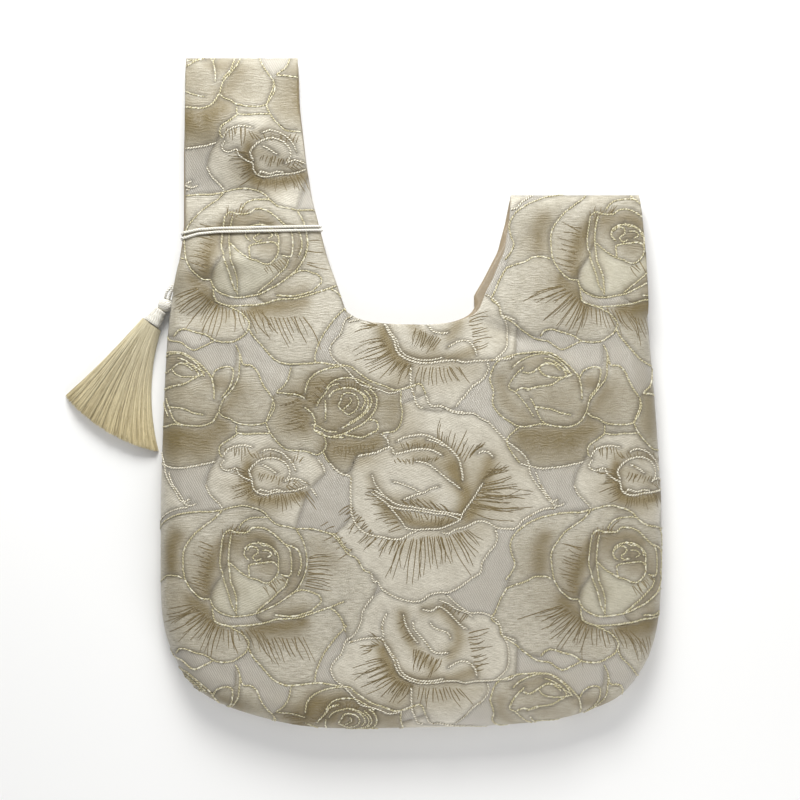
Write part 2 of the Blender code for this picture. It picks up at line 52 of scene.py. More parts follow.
# Outline of the bag, seen from above
BODY_WIDTH = 0.240
NECK_HEIGHT = 0.1935
LONG_STRAP_TOP = 0.322
LONG_STRAP_WIDTH = 0.0537
LONG_STRAP_CENTRE = -0.0813
SHORT_STRAP_TOP = 0.256
SHORT_STRAP_WIDTH = 0.0617
SHORT_STRAP_CENTRE = 0.0788
LEFT_SEAM_TOP = 0.2075
RIGHT_SEAM_TOP = 0.1965
NECK_LEFT_CORNER = -0.0320
NECK_RIGHT_CORNER = 0.0330
NECK_CORNER_RISE = 0.0085

# Heights above the surface that the bag lies on
BAG_THICKNESS = 0.022
STRAP_LOFT = 0.012
BODY_SEAM_HEIGHT = 0.009
STRAP_SEAM_HEIGHT = 0.006
STRAP_BLEND = 0.045

# How far in from a seam the cloth takes to round over
FRONT_ROLL = 0.012
BACK_ROLL = 0.012
STRAP_END_ROLL = 0.013
TIGHTEST_CURVE = 0.0034

# Cloth
BROCADE = 0.0013
LINING = 0.0010
PLY_GAP = 0.0003
SEAM_GAP = 0.0003
LONG_STRAP_PEEK = 0.0014
SHORT_STRAP_PEEK = 0.0026
EDGE_ROUND = 0.0006
HEM = 0.0032

# Tassel and its cord
CORD_DIAMETER = 0.0012
CORD_GAP = 0.0003
KNOT_LENGTH = 0.0084
KNOT_THICKNESS = 0.0062
NECK_TOP_RADIUS = 0.0031
NECK_END_RADIUS = 0.0042
NECK_LENGTH = 0.0078
SKIRT_LENGTH = 0.0535
SKIRT_TOP_WIDTH = 0.0106
SKIRT_END_HEIGHT = 0.0058
SKIRT_SPREAD = math.radians(44)
TASSEL_TURN = math.radians(23)
NECK_TURN = math.radians(36)
KNOT_SIDE_STEP = 0.0004
KNOT_DROP = 0.0042
FLOOR_CLEARANCE = 0.00005
LOWEST_CLOTH = 0.0004

# The sewn edge, from the top of the left side seam down, round the bottom and up the right side.
# across: share of half the body's width; up: share of the height of the neckline
SEWN_EDGE = [
    # across, up
    (-0.955, 1.072), (-0.972, 0.980), (-0.984, 0.860), (-0.993, 0.720), (-1.000, 0.560),
    (-1.000, 0.340), (-0.985, 0.247), (-0.945, 0.176), (-0.880, 0.111), (-0.760, 0.062),
    (-0.600, 0.028), (-0.440, 0.007), (-0.260, 0.000), (0.000, 0.002), (0.250, 0.005),
    (0.450, 0.013), (0.600, 0.025), (0.725, 0.048), (0.830, 0.079), (0.903, 0.128),
    (0.958, 0.192), (0.990, 0.275), (1.000, 0.380), (1.000, 0.560), (0.976, 0.800),
    (0.955, 0.950), (0.946, 1.0155),
]

# The neckline between its corners: share of its width, and of the corners' height over its foot
NECKLINE = [
    # across, drop
    (0.000, 0.00), (0.045, 0.42), (0.160, 0.80), (0.330, 0.96), (0.480, 1.00),
    (0.630, 1.00), (0.780, 0.88), (0.890, 0.66), (0.965, 0.36), (1.000, 0.00),
]

# Each strap's edges: how much of its flare at the base is left, and how far the back panel
# stands out beyond the front panel at its left edge, as a share of the peek
LONG_STRAP_EDGES = [
    # rise, left flare, right flare, peek
    (0.00, 1.00, 1.00, 0.0), (0.10, 0.62, 0.82, 0.6), (0.20, 0.20, 0.63, 1.0), (0.30, 0.00, 0.49, 1.0),
    (0.45, 0.00, 0.28, 1.0), (0.60, 0.00, 0.16, 1.0), (0.80, 0.00, 0.04, 0.7), (1.00, 0.00, 0.00, 0.0),
]
SHORT_STRAP_EDGES = [
    # rise, left flare, right flare, peek
    (0.00, 1.00, 1.00, 0.9), (0.12, 0.84, 1.00, 1.0), (0.25, 0.60, 0.94, 1.0),
    (0.50, 0.22, 0.76, 0.9), (0.75, 0.07, 0.41, 0.5), (1.00, 0.00, 0.00, 0.0),
]

# Soft folds and dents of the front panel. across and up are shares of half the body's width and
# of the neckline's height; length, width and rise are shares of the bag's thickness
FOLDS = [
    # across, up, length, width, turn in degrees, rise
    (-0.68, 1.490, 1.60, 0.62, -6, 0.240),
    (-0.66, 1.330, 1.60, 0.50, 4, -0.200),
    (-0.72, 1.235, 1.10, 0.16, 2, -0.050),
    (-0.72, 1.160, 1.20, 0.34, 8, 0.180),
    (-0.76, 1.035, 1.30, 0.34, 16, -0.190),
    (-0.80, 0.910, 1.20, 0.50, 16, -0.060),
    (0.64, 1.130, 1.60, 0.60, -4, 0.090),
    (0.60, 0.950, 1.40, 0.50, -10, -0.080),
    (0.37, 0.980, 0.60, 0.20, -24, -0.150),
    (0.31, 0.915, 0.70, 0.24, -18, 0.080),
    (0.08, 0.985, 0.22, 0.13, 90, 0.050),
    (0.74, 0.105, 0.95, 0.30, 38, -0.110),
    (-0.30, 0.600, 2.60, 0.80, 25, 0.040),
    (0.45, 0.450, 2.60, 0.90, -30, 0.040),
    (-0.10, 0.220, 3.00, 0.60, 8, -0.050),
    (0.10, 0.120, 2.60, 0.45, -5, 0.040),
    (-0.55, 0.400, 1.30, 0.50, -50, -0.035),
]

# The cord's way from the knot up between the front and back straps, in metres
CORD_START = [
    # x, y, z
    (-0.1163, 0.2064, 0.0062), (-0.1152, 0.2094, 0.0076), (-0.1136, 0.2124, 0.0080),
    (-0.1110, 0.2164, 0.0081), (-0.1072, 0.2214, 0.0080), (-0.1034, 0.2268, 0.0081),
]
# Its two turns round the front half of the long strap: the level is how far up the strap it is
CORD_TURNS = [
    # turns, level
    (0.08, 0.2318), (0.14, 0.2340), (0.26, 0.2368), (0.46, 0.2386), (0.52, 0.2388),
    (0.62, 0.2386), (0.86, 0.2379), (0.92, 0.2370), (0.96, 0.2352), (1.00, 0.2342),
    (1.04, 0.2345), (1.12, 0.2366), (1.26, 0.2388), (1.46, 0.2404), (1.52, 0.2406),
    (1.62, 0.2404), (1.86, 0.2397), (1.92, 0.2390), (1.96, 0.2378), (1.99, 0.2368),
]
# Its way back down to the knot, in metres
CORD_END = [
    # x, y, z
    (-0.1098, 0.2366, 0.0088), (-0.1090, 0.2355, 0.0068), (-0.1080, 0.2332, 0.0058),
    (-0.1078, 0.2290, 0.0057), (-0.1092, 0.2220, 0.0058), (-0.1120, 0.2158, 0.0061),
    (-0.1152, 0.2118, 0.0070), (-0.1174, 0.2094, 0.0068), (-0.1184, 0.2066, 0.0060),
]

# The brocade's chart. One step of it is 0.48 mm. It counts steps across from the bag's left and
# down from its straps, and repeats every REPEAT steps
CHART_STEP = 0.00048
CHART_MIDDLE = 411
CHART_BOTTOM = 728
REPEAT = (365, 317)

# Outline threads of each rose, as chart steps across and down in turn
ROSE_A = {
    "top": (224, 509, 231, 507, 243, 505, 254, 507, 264, 511, 270, 517, 278, 523, 290, 525.5, 297, 527.5),
    "shoulder": (297, 527.5, 312, 528, 325, 531, 333, 534, 340.5, 541.5, 348, 552, 357, 557, 364, 568,
        371, 571),
    "shoulder twin": (325, 531, 336, 533, 345, 545, 352, 550),
    "left petal": (224, 509, 217, 517, 207, 524, 199, 530, 193, 537, 188, 544, 185, 552, 185, 564,
        186.5, 576, 191, 585, 197, 592, 204, 597, 212, 597.5),
    "ring": (212, 597.5, 214, 604, 220, 610, 230, 614, 240, 614.6, 250, 613, 260, 611, 270, 606, 278, 602,
        287, 596, 296, 589, 302, 580, 306, 570, 307.5, 558, 306, 546, 303, 537, 297, 527.5),
    "inner ring": (225, 533, 231, 529, 237, 531, 248.5, 531, 254, 527, 264, 527, 272, 531, 279, 537,
        286, 543, 293, 545, 299, 548.5, 302, 556, 302, 565, 299, 574.5),
    "arc": (287, 543, 291, 548.5, 293, 558, 293, 567, 291, 574, 281.5, 573),
    "right arc": (289, 577, 287, 584, 280, 591, 273, 598, 264, 605, 257, 611),
    "left line": (225, 533, 224, 540, 222.5, 552, 222, 564, 225, 573),
    "stem": (233, 533, 231, 543, 230, 553, 230, 560, 231, 570, 232, 579, 235.5, 587.5, 238, 597, 238, 613),
    "leaf": (224, 573, 227, 582, 230, 591, 233, 602, 237, 610),
    "heart": (230, 560, 240, 569, 251, 576, 258, 578, 264, 581, 270, 581, 276, 576, 279, 570, 279, 563,
        279, 556, 277, 550, 270, 545, 263, 544, 259, 540),
    "heart top": (251, 576, 250, 568, 251, 563, 262, 561, 274, 560, 279, 565),
    "curl": (248, 549, 252, 545, 258, 546, 259, 551, 254, 555, 257, 559, 263, 557),
    "small curl": (263, 549, 269, 549, 273, 553, 268, 556),
    "fan line": (240, 528, 245, 521, 252, 517, 264, 516, 270, 517),
    "oval leaf": (287, 596, 296, 590, 304, 588, 312, 590, 319, 593, 322, 599, 317, 605, 311, 610),
    "leaf base": (276, 613, 290, 614, 302, 612, 313, 609),
    "under": (214, 606, 215.5, 616, 220, 620.5, 231, 623.5, 248.5, 623, 266, 620.5, 278, 617, 296, 616,
        311, 612, 331, 605, 345, 599),
    "branch": (331, 606, 338, 611, 343, 619, 346, 630),
    "low petal": (226, 622, 236, 627, 243, 631, 249, 637, 251, 642, 248, 650, 242, 655, 235, 659, 226, 660,
        216, 658.5, 207, 653, 196, 650, 186, 647, 179, 648, 174, 654),
    "low leaf": (154, 646, 161, 651, 170, 657, 182, 659, 189, 664, 196, 667, 206, 663, 215, 658.5),
    "left leaf": (148, 583, 160, 579, 167, 575, 178, 574.5, 185, 577),
    "left top": (149, 532, 154, 527, 161, 522, 172, 517, 181, 514, 192, 512, 201, 511, 212, 511, 224, 509),
    "left edge": (149, 532, 145, 538, 144, 545, 146, 554, 149, 562, 145, 571, 139, 578),
    "low left edge": (148, 583, 141, 586, 138, 590, 134, 597, 131, 604, 128, 611, 125, 617, 133, 624,
        135, 633, 145, 639, 154, 646),
    "small heart": (251, 559, 246, 554, 247, 547, 252, 543, 259, 542, 267, 543, 274, 548, 277, 555),
}
ROSE_B = {
    "left": (330, 462, 336, 468, 343, 473, 351, 476, 351, 489, 351, 501, 352, 513, 356, 522, 363, 529.5,
        372.5, 534, 383, 536, 396, 538, 404, 536, 410, 532, 417, 529.5),
    "heart": (371, 491, 381, 498, 391, 505, 401, 508, 413, 509, 424, 511, 436, 513, 448, 514, 459, 518),
    "heart twin": (374, 489, 384, 495.5, 393, 501.5, 402, 504.5, 414, 506, 425, 508, 437, 510, 449, 511.5,
        461, 514),
    "gold foot": (387, 503.5, 396, 513, 401, 520, 405.5, 526, 413, 528, 424, 528, 436, 528, 443, 526.5,
        453, 522, 460, 518, 463, 511, 470, 501, 476, 492, 482, 482),
    "lower": (441, 531, 448, 532, 455, 528, 466, 525, 473, 521, 481, 519.5, 488, 522, 495, 526, 505, 527,
        515, 526.5, 522, 519, 532, 513, 544, 508, 555, 507),
    "top ring": (396, 442, 403, 438, 413, 436, 424, 434.5, 433, 437.5, 441, 442, 448, 447, 455, 454,
        459, 461, 461, 470.5, 462, 480),
    "second ring": (394, 454, 403, 452, 415, 449, 427, 449, 436, 452, 442, 455),
    "top twin": (426, 439, 436, 441.5, 444, 446.5),
    "third ring": (415, 461, 423, 462, 431.5, 466, 438.5, 472, 446, 478, 454, 483.5, 460, 488),
    "fold": (392.5, 481, 403, 483.5, 413, 488, 422, 492, 430, 488, 438.5, 486),
    "low fold": (403, 499, 413, 495, 422, 492),
    "side fold": (372, 474, 376, 484, 382, 492, 388, 498),
    "upper left": (358, 456, 367, 454, 377, 452, 383, 449, 391, 447, 394, 454),
    "top left": (381, 433, 387, 439, 389, 445),
    "top right": (425.6, 395, 430, 406, 441, 407, 449, 411.5, 459, 414, 472, 414, 480, 419, 488, 423,
        495, 430, 501, 436, 507, 442, 515, 448, 523, 455, 528, 464, 529.5, 473, 534, 481, 541, 490, 546, 498,
        551, 501, 557, 498),
    "top right twin": (436, 405, 445, 408, 453, 411.5, 464, 412),
    "lower right": (494, 528, 496, 535, 494, 544, 488, 551, 482, 560, 480, 570, 472, 575.5, 466, 580,
        457, 586, 448, 591, 440, 591, 430, 593, 423, 598, 415, 600, 403, 598, 392.5, 594, 383, 588, 378, 580,
        374, 580, 371, 571),
    "petal top": (477, 453, 482, 451, 488, 452, 492, 457),
}
ROSE_C = {
    "left": (207, 484, 211, 493, 217, 499, 222.5, 505, 224, 509),
    "heart": (238, 467, 240, 473, 247, 478, 253, 481, 254, 487, 258, 492, 266, 494, 276, 492, 286, 491,
        299, 489, 309, 485),
    "inner": (263, 464, 271, 468, 278, 473),
    "inner right": (285, 481, 296, 478, 307.5, 482.5),
    "right": (318, 458, 324, 467, 326, 473),
    "ground top": (154, 463, 166, 466, 178, 468, 190, 466.5, 201, 465, 211, 463, 217, 461),
    "ground left": (169, 471, 172, 480, 178, 490, 184, 498, 187, 504, 193, 505, 198, 502.5),
    "heart low": (258, 492, 262, 489, 270, 491, 277, 489, 284, 490),
    "tail": (312, 487, 318, 496),
    "ring": (254, 479, 251, 471, 256, 464, 264, 459, 273, 457, 282, 459, 289, 465, 291, 474, 286, 481),
    "curl": (262, 452, 270, 449, 279, 451, 286, 455, 293, 462, 297, 471),
    "top left": (224, 457, 228, 450, 236, 446, 245, 445, 254, 447),
    "foot": (238, 467, 228, 470, 222, 466, 226, 459),
}
ROSE_D = {
    "left petal": (374, 594, 363, 609, 361, 621, 354, 633, 346, 639, 342, 651, 335, 659, 331, 667, 335, 677,
        345, 685, 354, 694, 361, 701.5, 371, 704, 381, 707, 388, 710, 396, 709, 403, 706, 410, 703),
    "dark top": (348, 640, 365, 636, 374, 635, 382, 635.5),
    "heart": (382, 635.5, 385.5, 642.5, 389, 650, 394, 658, 396, 666, 401, 673, 410, 678, 420, 680,
        431.5, 680, 443, 678.5, 455, 678, 463, 680, 474, 678.5, 486, 678, 499, 677, 507, 677, 514, 673),
    "heart twin": (387, 643, 391.5, 651, 397, 658, 399, 665, 404, 671, 412, 675, 421, 677, 432, 677,
        443, 675),
    "left oval": (387, 611, 383, 619, 382, 627, 384, 635),
    "middle": (413, 619, 413, 625, 417, 631, 424, 638, 429, 645, 434, 650, 443, 651, 448, 650),
    "inner heart": (430, 620, 434, 625, 448, 631, 450, 637),
    "crown": (422, 607, 431.5, 608, 438.5, 604, 447, 609.5, 454, 617, 461, 624, 467, 627),
    "crown twin": (438.5, 598, 448, 602, 455, 607, 466, 611, 472, 615),
    "right petal": (446, 593, 454, 601, 462, 607, 469, 611, 479, 611, 487, 613, 495, 618, 499, 625, 501, 633,
        505, 640, 507, 648, 507, 657, 506, 665, 500, 672, 494, 677),
    "side line": (502, 633, 515, 638),
    "leaf": (447, 665, 455, 660, 462, 658, 469, 660, 474, 666, 476, 673),
    "foot left": (411, 684, 411, 703, 414, 713, 417, 722, 423, 726),
    "foot right": (455, 724.5, 460, 718, 466, 711, 472, 704, 481, 698, 486, 691, 488, 685, 486, 680),
    "neck line": (403, 612, 406, 622, 411, 632, 418, 641),
}
ROSE_E = {
    "ring": (306, 393, 309, 381, 317, 373, 330, 368, 344, 366, 351, 367, 358, 373, 368, 380, 377, 384,
        387, 387, 396, 390, 407, 388, 420, 384, 425.6, 395),
    "right ring": (369, 388, 375, 394, 377, 402, 374, 411.5, 367, 420, 357, 427, 345, 433, 330, 437.5),
    "right twin": (364, 390, 370, 396, 372, 403, 369, 410, 362, 417, 353, 423, 342, 428),
    "left ring": (305, 407, 313, 414, 316, 423, 316, 430, 330, 436, 345, 437),
    "inner left": (317, 407, 320, 401, 325, 395, 331, 387, 340, 384),
    "inner line": (326, 400, 326, 421),
    "bud": (341, 401, 344, 395, 350, 393, 357, 396, 359.5, 402, 357, 409, 349, 414, 343, 410, 339, 406,
        341, 401),
    "bud arc": (348, 388, 356, 390, 363, 396, 365, 403, 361, 411),
    "left petal": (292, 367, 289, 379, 284, 387, 277, 393, 287, 394, 298, 395.5, 306, 398.5),
    "big petal": (273, 397, 274, 401, 272, 410, 268.5, 418, 267, 424, 271, 433, 278, 441.5, 287, 449,
        297, 450, 307.5, 451, 317, 454.5, 324, 451, 327, 445, 326, 438, 323, 433, 316, 430),
    "right petal": (401, 391, 401, 402, 402.6, 414, 401, 423, 396, 430, 389, 432, 382, 433),
    "leaf": (344, 434, 352, 436, 362, 437.5, 370, 434, 378, 429, 376, 421, 369, 420),
    "gap line": (324, 451, 326, 457, 330, 462),
    "outer spiral": (326, 390, 333, 382, 344, 378, 356, 379, 366, 384, 375, 390),
    "middle spiral": (329, 398, 334, 392, 343, 388.5, 352, 388, 361, 392, 368, 399, 367, 409, 359, 417,
        349, 423),
    "bud line": (343, 410, 348, 406, 352, 401, 350, 397),
    "low spiral": (312, 424, 320, 427, 327, 431, 338, 432),
}
ROSE_F = {
    "bud arc": (156, 372, 164.4, 373, 172.7, 368, 181, 363, 189.3, 366.3, 194.3, 371.3),
    "high arc": (146, 368, 156, 360, 168, 355, 180, 354, 191, 359, 200, 367, 206, 377),
    "low arc": (177.7, 358, 188, 362, 197, 369.6, 201, 378),
    "arc": (128, 366, 133, 361, 141, 358, 151, 355, 160, 354, 171, 353, 184, 354, 193, 359, 201, 365,
        208, 372, 213, 379, 215.5, 391, 215.5, 400),
    "left ring": (128, 393, 127, 401, 129.5, 408, 135, 415, 144, 422, 153, 426, 164, 426, 174, 424,
        184, 425),
    "left fold": (158, 367, 151, 373, 145, 381, 143, 388, 149, 392, 157, 401, 163, 409, 168, 417),
    "left line": (149, 392, 156, 388, 163, 389, 173, 387),
    "foot left": (153, 427, 144, 435, 141, 443, 146, 453, 154, 463),
    "left leaf": (128, 366, 124, 378, 126, 386, 128, 393),
    "oval": (172, 369, 178, 364.5, 185, 364, 192, 365, 199, 370, 205, 374, 196, 377, 184, 377, 176, 374,
        172, 369),
    "line": (160, 391, 169, 387, 184, 385, 193, 380, 199, 377),
    "bottom": (164, 398, 168, 406, 174, 419, 181, 424, 193, 426, 204, 426, 214, 421.5, 220, 412),
    "low line": (169, 407, 184, 409, 195, 413, 205, 415),
    "loop": (213, 379, 217, 371, 226, 367, 233, 368, 234, 375.5, 231, 387, 222.5, 398),
    "outer": (237, 345, 241, 354, 241, 367, 239, 379, 232, 390, 224, 400, 220, 412),
    "right petal": (241, 354, 244, 365, 252, 366, 258, 371, 261.5, 379, 266, 388, 273, 397),
    "bottom petal": (220, 412, 225, 417, 231, 419, 237, 423, 248.5, 425, 264, 424, 270, 418, 275, 407,
        273, 397),
    "below": (238, 425, 238, 431, 239, 433, 247, 434, 258, 433, 271, 433),
    "below left": (239, 433, 231, 439, 222.5, 445, 221, 452, 224, 457),
    "neck petal": (250, 329, 254, 337, 261.5, 345, 268.5, 353, 275.6, 360, 284, 364, 292, 365, 305, 364,
        322, 363, 335, 365, 345, 365.4),
    "neck line": (346, 305, 346, 308, 336, 319, 327, 331, 320, 343, 316, 355, 316, 363),
}
THREADS = [
    # rose's threads, whether they are gold
    (ROSE_A, True),
    (ROSE_B, False),
    (ROSE_C, False),
    (ROSE_D, False),
    (ROSE_E, True),
    (ROSE_F, True),
]

# Grounds woven inside the outlines, each later one over those before it
FILLS = [
    # weave, and its border: stretches of threads, from one of their points to another,
    # and chart steps across and down in turn between them
    ("ribbed", [(ROSE_F, "arc", 0, 4), 184, 354, 201, 365, 213, 375, 226, 367, 236, 366, 237, 345,
        (ROSE_F, "right petal", 0, 6), 275, 407, 270, 418, 267, 425, (ROSE_F, "below", 5, 2), 231, 439,
        222.5, 445, 221, 452, 217, 461, 201, 465, 178, 468, 166, 466, (ROSE_F, "foot left", 4, 1), 149, 429,
        (ROSE_F, "left ring", 4, 0), 126, 386, 124, 378]),
    ("ribbed", [(ROSE_E, "left petal", 0, 3), (ROSE_E, "big petal", 0, 11), 330, 462, 336, 468, 343, 473,
        351, 470, 358, 456, 377, 452, 389, 445, 387, 439, (ROSE_E, "right petal", 6, 0),
        (ROSE_E, "ring", 10, 4), 322, 363, 305, 364]),
    ("ribbed", [(ROSE_A, "left petal", 0, 12), (ROSE_A, "ring", 1, 16), (ROSE_A, "top", 7, 1)]),
    ("ribbed", [(ROSE_A, "ring", 16, 7), 257, 613, (ROSE_A, "under", 5, 9), 338, 611, 343, 619, 346, 630,
        348, 640, (ROSE_D, "left petal", 3, 0), 378, 580, (ROSE_A, "shoulder", 8, 1)]),
    ("ribbed", [149, 532, 154, 527, 161, 522, 181, 514, 201, 511, (ROSE_A, "left petal", 0, 12), 215.5, 616,
        220, 620.5, 236, 627, 249, 637, 251, 642, 248, 650, 235, 659, 216, 658.5, 207, 653, 186, 647,
        174, 654, 161, 651, (ROSE_A, "low left edge", 10, 2), 141, 582, (ROSE_A, "left edge", 5, 1)]),
    ("ribbed", [250, 646, 251, 641, 249, 637, 243, 631, 236, 627, (ROSE_A, "under", 3, 9), 338, 611,
        343, 618, 346, 625, 336, 636, 327, 648, 320, 660, 316, 672, 316, 680, 305, 681, 292, 682, 284, 681,
        275.6, 677, 268.5, 670, 261.5, 662, 254, 654]),
    ("cream", [(ROSE_C, "left", 0, 4), (ROSE_A, "top", 1, 8), 300, 516, 306, 500, 313, 486, 326, 473,
        324, 467, 318, 458, 307, 451, (ROSE_E, "big petal", 8, 5), 258, 433, (ROSE_F, "below left", 0, 3),
        217, 461, 211, 470]),
    ("cream", [(ROSE_B, "left", 0, 6), 345, 524, 336, 533, 345, 545, (ROSE_A, "shoulder", 5, 8),
        (ROSE_B, "lower right", 18, 0), (ROSE_B, "lower", 8, 13), (ROSE_B, "top right", 19, 0), 412, 400,
        402, 404, (ROSE_E, "right petal", 2, 5), 387, 439, 389, 445, 377, 452, 358, 456, 351, 470,
        343, 473]),
    ("cream", [(ROSE_D, "left petal", 0, 16), (ROSE_D, "foot left", 1, 4), 440, 728,
        (ROSE_D, "foot right", 0, 6), 486, 679, 499, 677, 507, 677, 514, 673, 516, 655, 515, 638, 502, 633,
        (ROSE_D, "right petal", 7, 0), (ROSE_B, "lower right", 10, 16)]),
    ("pale", [(ROSE_A, "heart", 0, 6), 279, 571, (ROSE_A, "right arc", 0, 5), (ROSE_A, "ring", 5, 0),
        214, 588, 219, 580, 224, 573]),
]

# Soft gold shading of the weave along lines of the chart: how far it reaches, how strong it is,
# and the line's chart steps across and down in turn
GILDING = [
    (10, 0.8, (178, 536, 174, 546, 173, 556, 173, 566)),
    (18, 0.25, (166, 552, 160, 562)),
    (20, 0.35, (176, 442, 205, 440)),
    (22, 0.3, (178, 384, 196, 404)),
    (14, 0.5, (330, 398, 352, 402, 342, 418)),
    (24, 0.5, (340, 388, 350, 420)),
    (20, 0.4, (396, 392, 399, 424)),
    (20, 0.4, (478, 468, 496, 500)),
    (26, 0.12, (156, 392, 204, 408)),
    (16, 0.5, (268, 560, 292, 572)),
    (9, 0.85, (223, 545, 217, 554, 212, 565, 209, 578, 209, 590)),
    (16, 0.35, (204, 560, 200, 572)),
    (9, 0.85, (195, 597, 204, 607, 213, 615, 222, 622)),
    (20, 0.3, (180, 600, 196, 614, 214, 630)),
    (8, 0.95, (254, 626, 270, 625, 288, 622, 303, 619)),
    (14, 0.5, (264, 632, 294, 628)),
    (8, 0.75, (231, 538, 246, 535, 262, 535, 272, 541)),
    (7, 0.5, (295, 548, 300, 561, 299, 576, 290, 589, 276, 600, 262, 608)),
    (8, 0.55, (228, 560, 230, 575, 235, 590)),
    (12, 0.5, (240, 547, 258, 552, 268, 556)),
    (9, 0.5, (304, 607, 284, 611)),
    (12, 0.4, (318, 545, 332, 560)),
    (11, 1.0, (316, 380, 307, 394, 303, 408, 306, 424)),
    (22, 0.65, (290, 400, 288, 424)),
    (12, 0.95, (330, 444, 346, 444, 362, 444, 376, 441)),
    (18, 0.7, (336, 453, 362, 452)),
    (8, 0.85, (318, 400, 327, 387, 344, 380, 360, 383, 371, 391, 374, 404, 366, 417)),
    (9, 0.6, (320, 420, 332, 431, 350, 432)),
    (9, 0.6, (338, 400, 352, 404)),
    (12, 0.5, (392, 398, 394, 420)),
    (9, 0.7, (222, 383, 237, 387, 232, 402, 222, 412)),
    (16, 0.4, (248, 392, 246, 410)),
    (12, 0.85, (152, 434, 168, 436, 186, 436, 206, 436, 224, 427)),
    (20, 0.6, (164, 448, 205, 448)),
    (8, 0.5, (150, 366, 172, 361, 188, 360, 202, 369, 211, 382)),
    (9, 0.55, (134, 380, 136, 394, 146, 408, 160, 416)),
    (12, 0.2, (172, 395, 198, 396)),
    (7, 1.0, (250, 465, 248, 476, 251, 486, 256, 494)),
    (7, 0.9, (256, 496, 270, 499, 286, 498, 303, 493)),
    (13, 0.4, (240, 486, 250, 501, 272, 506)),
    (10, 0.45, (262, 470, 284, 482)),
    (6, 0.5, (250, 455, 270, 452, 290, 458)),
    (10, 1.0, (452, 468, 461, 484, 466, 498, 461, 513)),
    (8, 0.9, (468, 514, 476, 505)),
    (8, 0.8, (489, 460, 485, 473, 480, 487)),
    (8, 0.75, (416, 442, 434, 445, 447, 455, 456, 468)),
    (7, 0.9, (388, 505, 402, 517, 424, 523, 447, 521)),
    (8, 0.5, (398, 448, 420, 456, 440, 464)),
    (8, 0.5, (392, 500, 428, 500)),
    (7, 0.5, (372, 478, 382, 496, 388, 512)),
    (14, 0.3, (400, 542, 440, 544, 476, 526)),
    (9, 1.0, (383, 647, 387, 659, 395, 671, 404, 679)),
    (7, 0.8, (402, 612, 404, 627, 412, 640)),
    (8, 0.75, (448, 611, 457, 626, 457, 641, 449, 652)),
    (7, 0.7, (410, 677, 430, 677, 452, 675, 472, 668)),
    (7, 0.7, (418, 650, 432, 664)),
    (7, 0.6, (425, 607, 442, 606)),
    (14, 0.35, (400, 690, 440, 692, 470, 684)),
]

# Fans of single stitches: from points between the first two to points between the last two
FANS = [
    # across and down of each start and end, stitches
    (376, 489, 402, 526, 362, 487, 386, 531, 11),
    (351, 503, 379, 536, 339, 511, 365, 551, 11),
    (384, 534, 399, 538, 371, 552, 388, 562, 6),
    (400, 538, 424, 535, 386, 573, 424, 579, 6),
    (427, 534, 447, 535, 430, 567, 455, 562, 7),
    (449, 533, 466, 528, 470, 573, 484, 541, 6),
    (466, 508, 483, 483, 510, 516, 516, 474, 10),
    (476, 505, 484, 490, 529, 508, 533, 491, 4),
    (481, 480, 487, 468, 500, 463, 516, 470, 6),
    (437, 440, 462, 462, 437, 419, 476, 440, 8),
    (468, 458, 474, 449, 481, 440, 487, 442, 4),
    (394, 458, 440, 456, 401, 466, 433, 463, 12),
    (404, 503, 452, 512, 398, 496, 436, 497, 12),
    (392, 507, 456, 517, 402, 519, 449, 527, 12),
    (400, 442, 438, 443, 402, 450, 434, 450, 9),
    (384, 655, 396, 675, 350, 664, 366, 692, 8),
    (397, 677, 412, 682, 380, 695, 404, 700, 6),
    (384, 640, 372, 646, 368, 626, 357, 652, 6),
    (415, 645, 441, 656, 411, 664, 431, 671, 8),
    (467, 631, 473, 668, 490, 626, 488, 664, 8),
    (420, 684, 458, 684, 415, 705, 470, 699, 8),
    (404, 616, 414, 636, 396, 620, 404, 641, 6),
    (248, 470, 257, 491, 225, 465, 240, 503, 10),
    (261, 495, 306, 489, 257, 509, 319, 505, 13),
    (262, 472, 300, 478, 258, 482, 296, 486, 9),
    (255, 458, 300, 462, 248, 450, 306, 452, 9),
    (342, 390, 356, 392, 333, 380, 366, 381, 7),
    (320, 405, 330, 385, 310, 402, 322, 378, 7),
    (226, 535, 244, 533, 226, 523, 252, 522, 6),
    (264, 584, 284, 574, 272, 596, 292, 582, 6),
    (264, 318, 303, 317, 274, 343, 318, 347, 7),
    (196, 603, 222, 624, 152, 614, 214, 662, 13),
    (226, 625, 262, 628, 226, 646, 284, 656, 8),
    (216, 546, 209, 590, 198, 540, 190, 584, 9),
    (300, 392, 306, 424, 284, 398, 286, 428, 7),
    (336, 446, 372, 444, 334, 458, 374, 454, 7),
    (310, 556, 306, 584, 330, 552, 334, 590, 8),
    (330, 520, 352, 546, 318, 526, 338, 556, 4),
    (445, 600, 470, 612, 440, 608, 462, 622, 6),
    (228, 446, 246, 446, 228, 456, 246, 462, 5),
    (288, 484, 300, 478, 300, 494, 310, 486, 4),
]

HALF_WIDTH = BODY_WIDTH / 2
LINED_WALL = BROCADE + PLY_GAP + LINING
FREE_SIDES = ("right", "inner", "left")
UP = np.array((0, 0, 1.0))

# Steps between the points of the cloth's meshes and of the cord
PLAN_STEP = 0.004
LINING_STEP = 0.0025
LINING_CLEAR = 0.0008
ROUTE_STEP = 0.0004
RIM_INSETS = (0.00022, 0.0006, 0.0012)

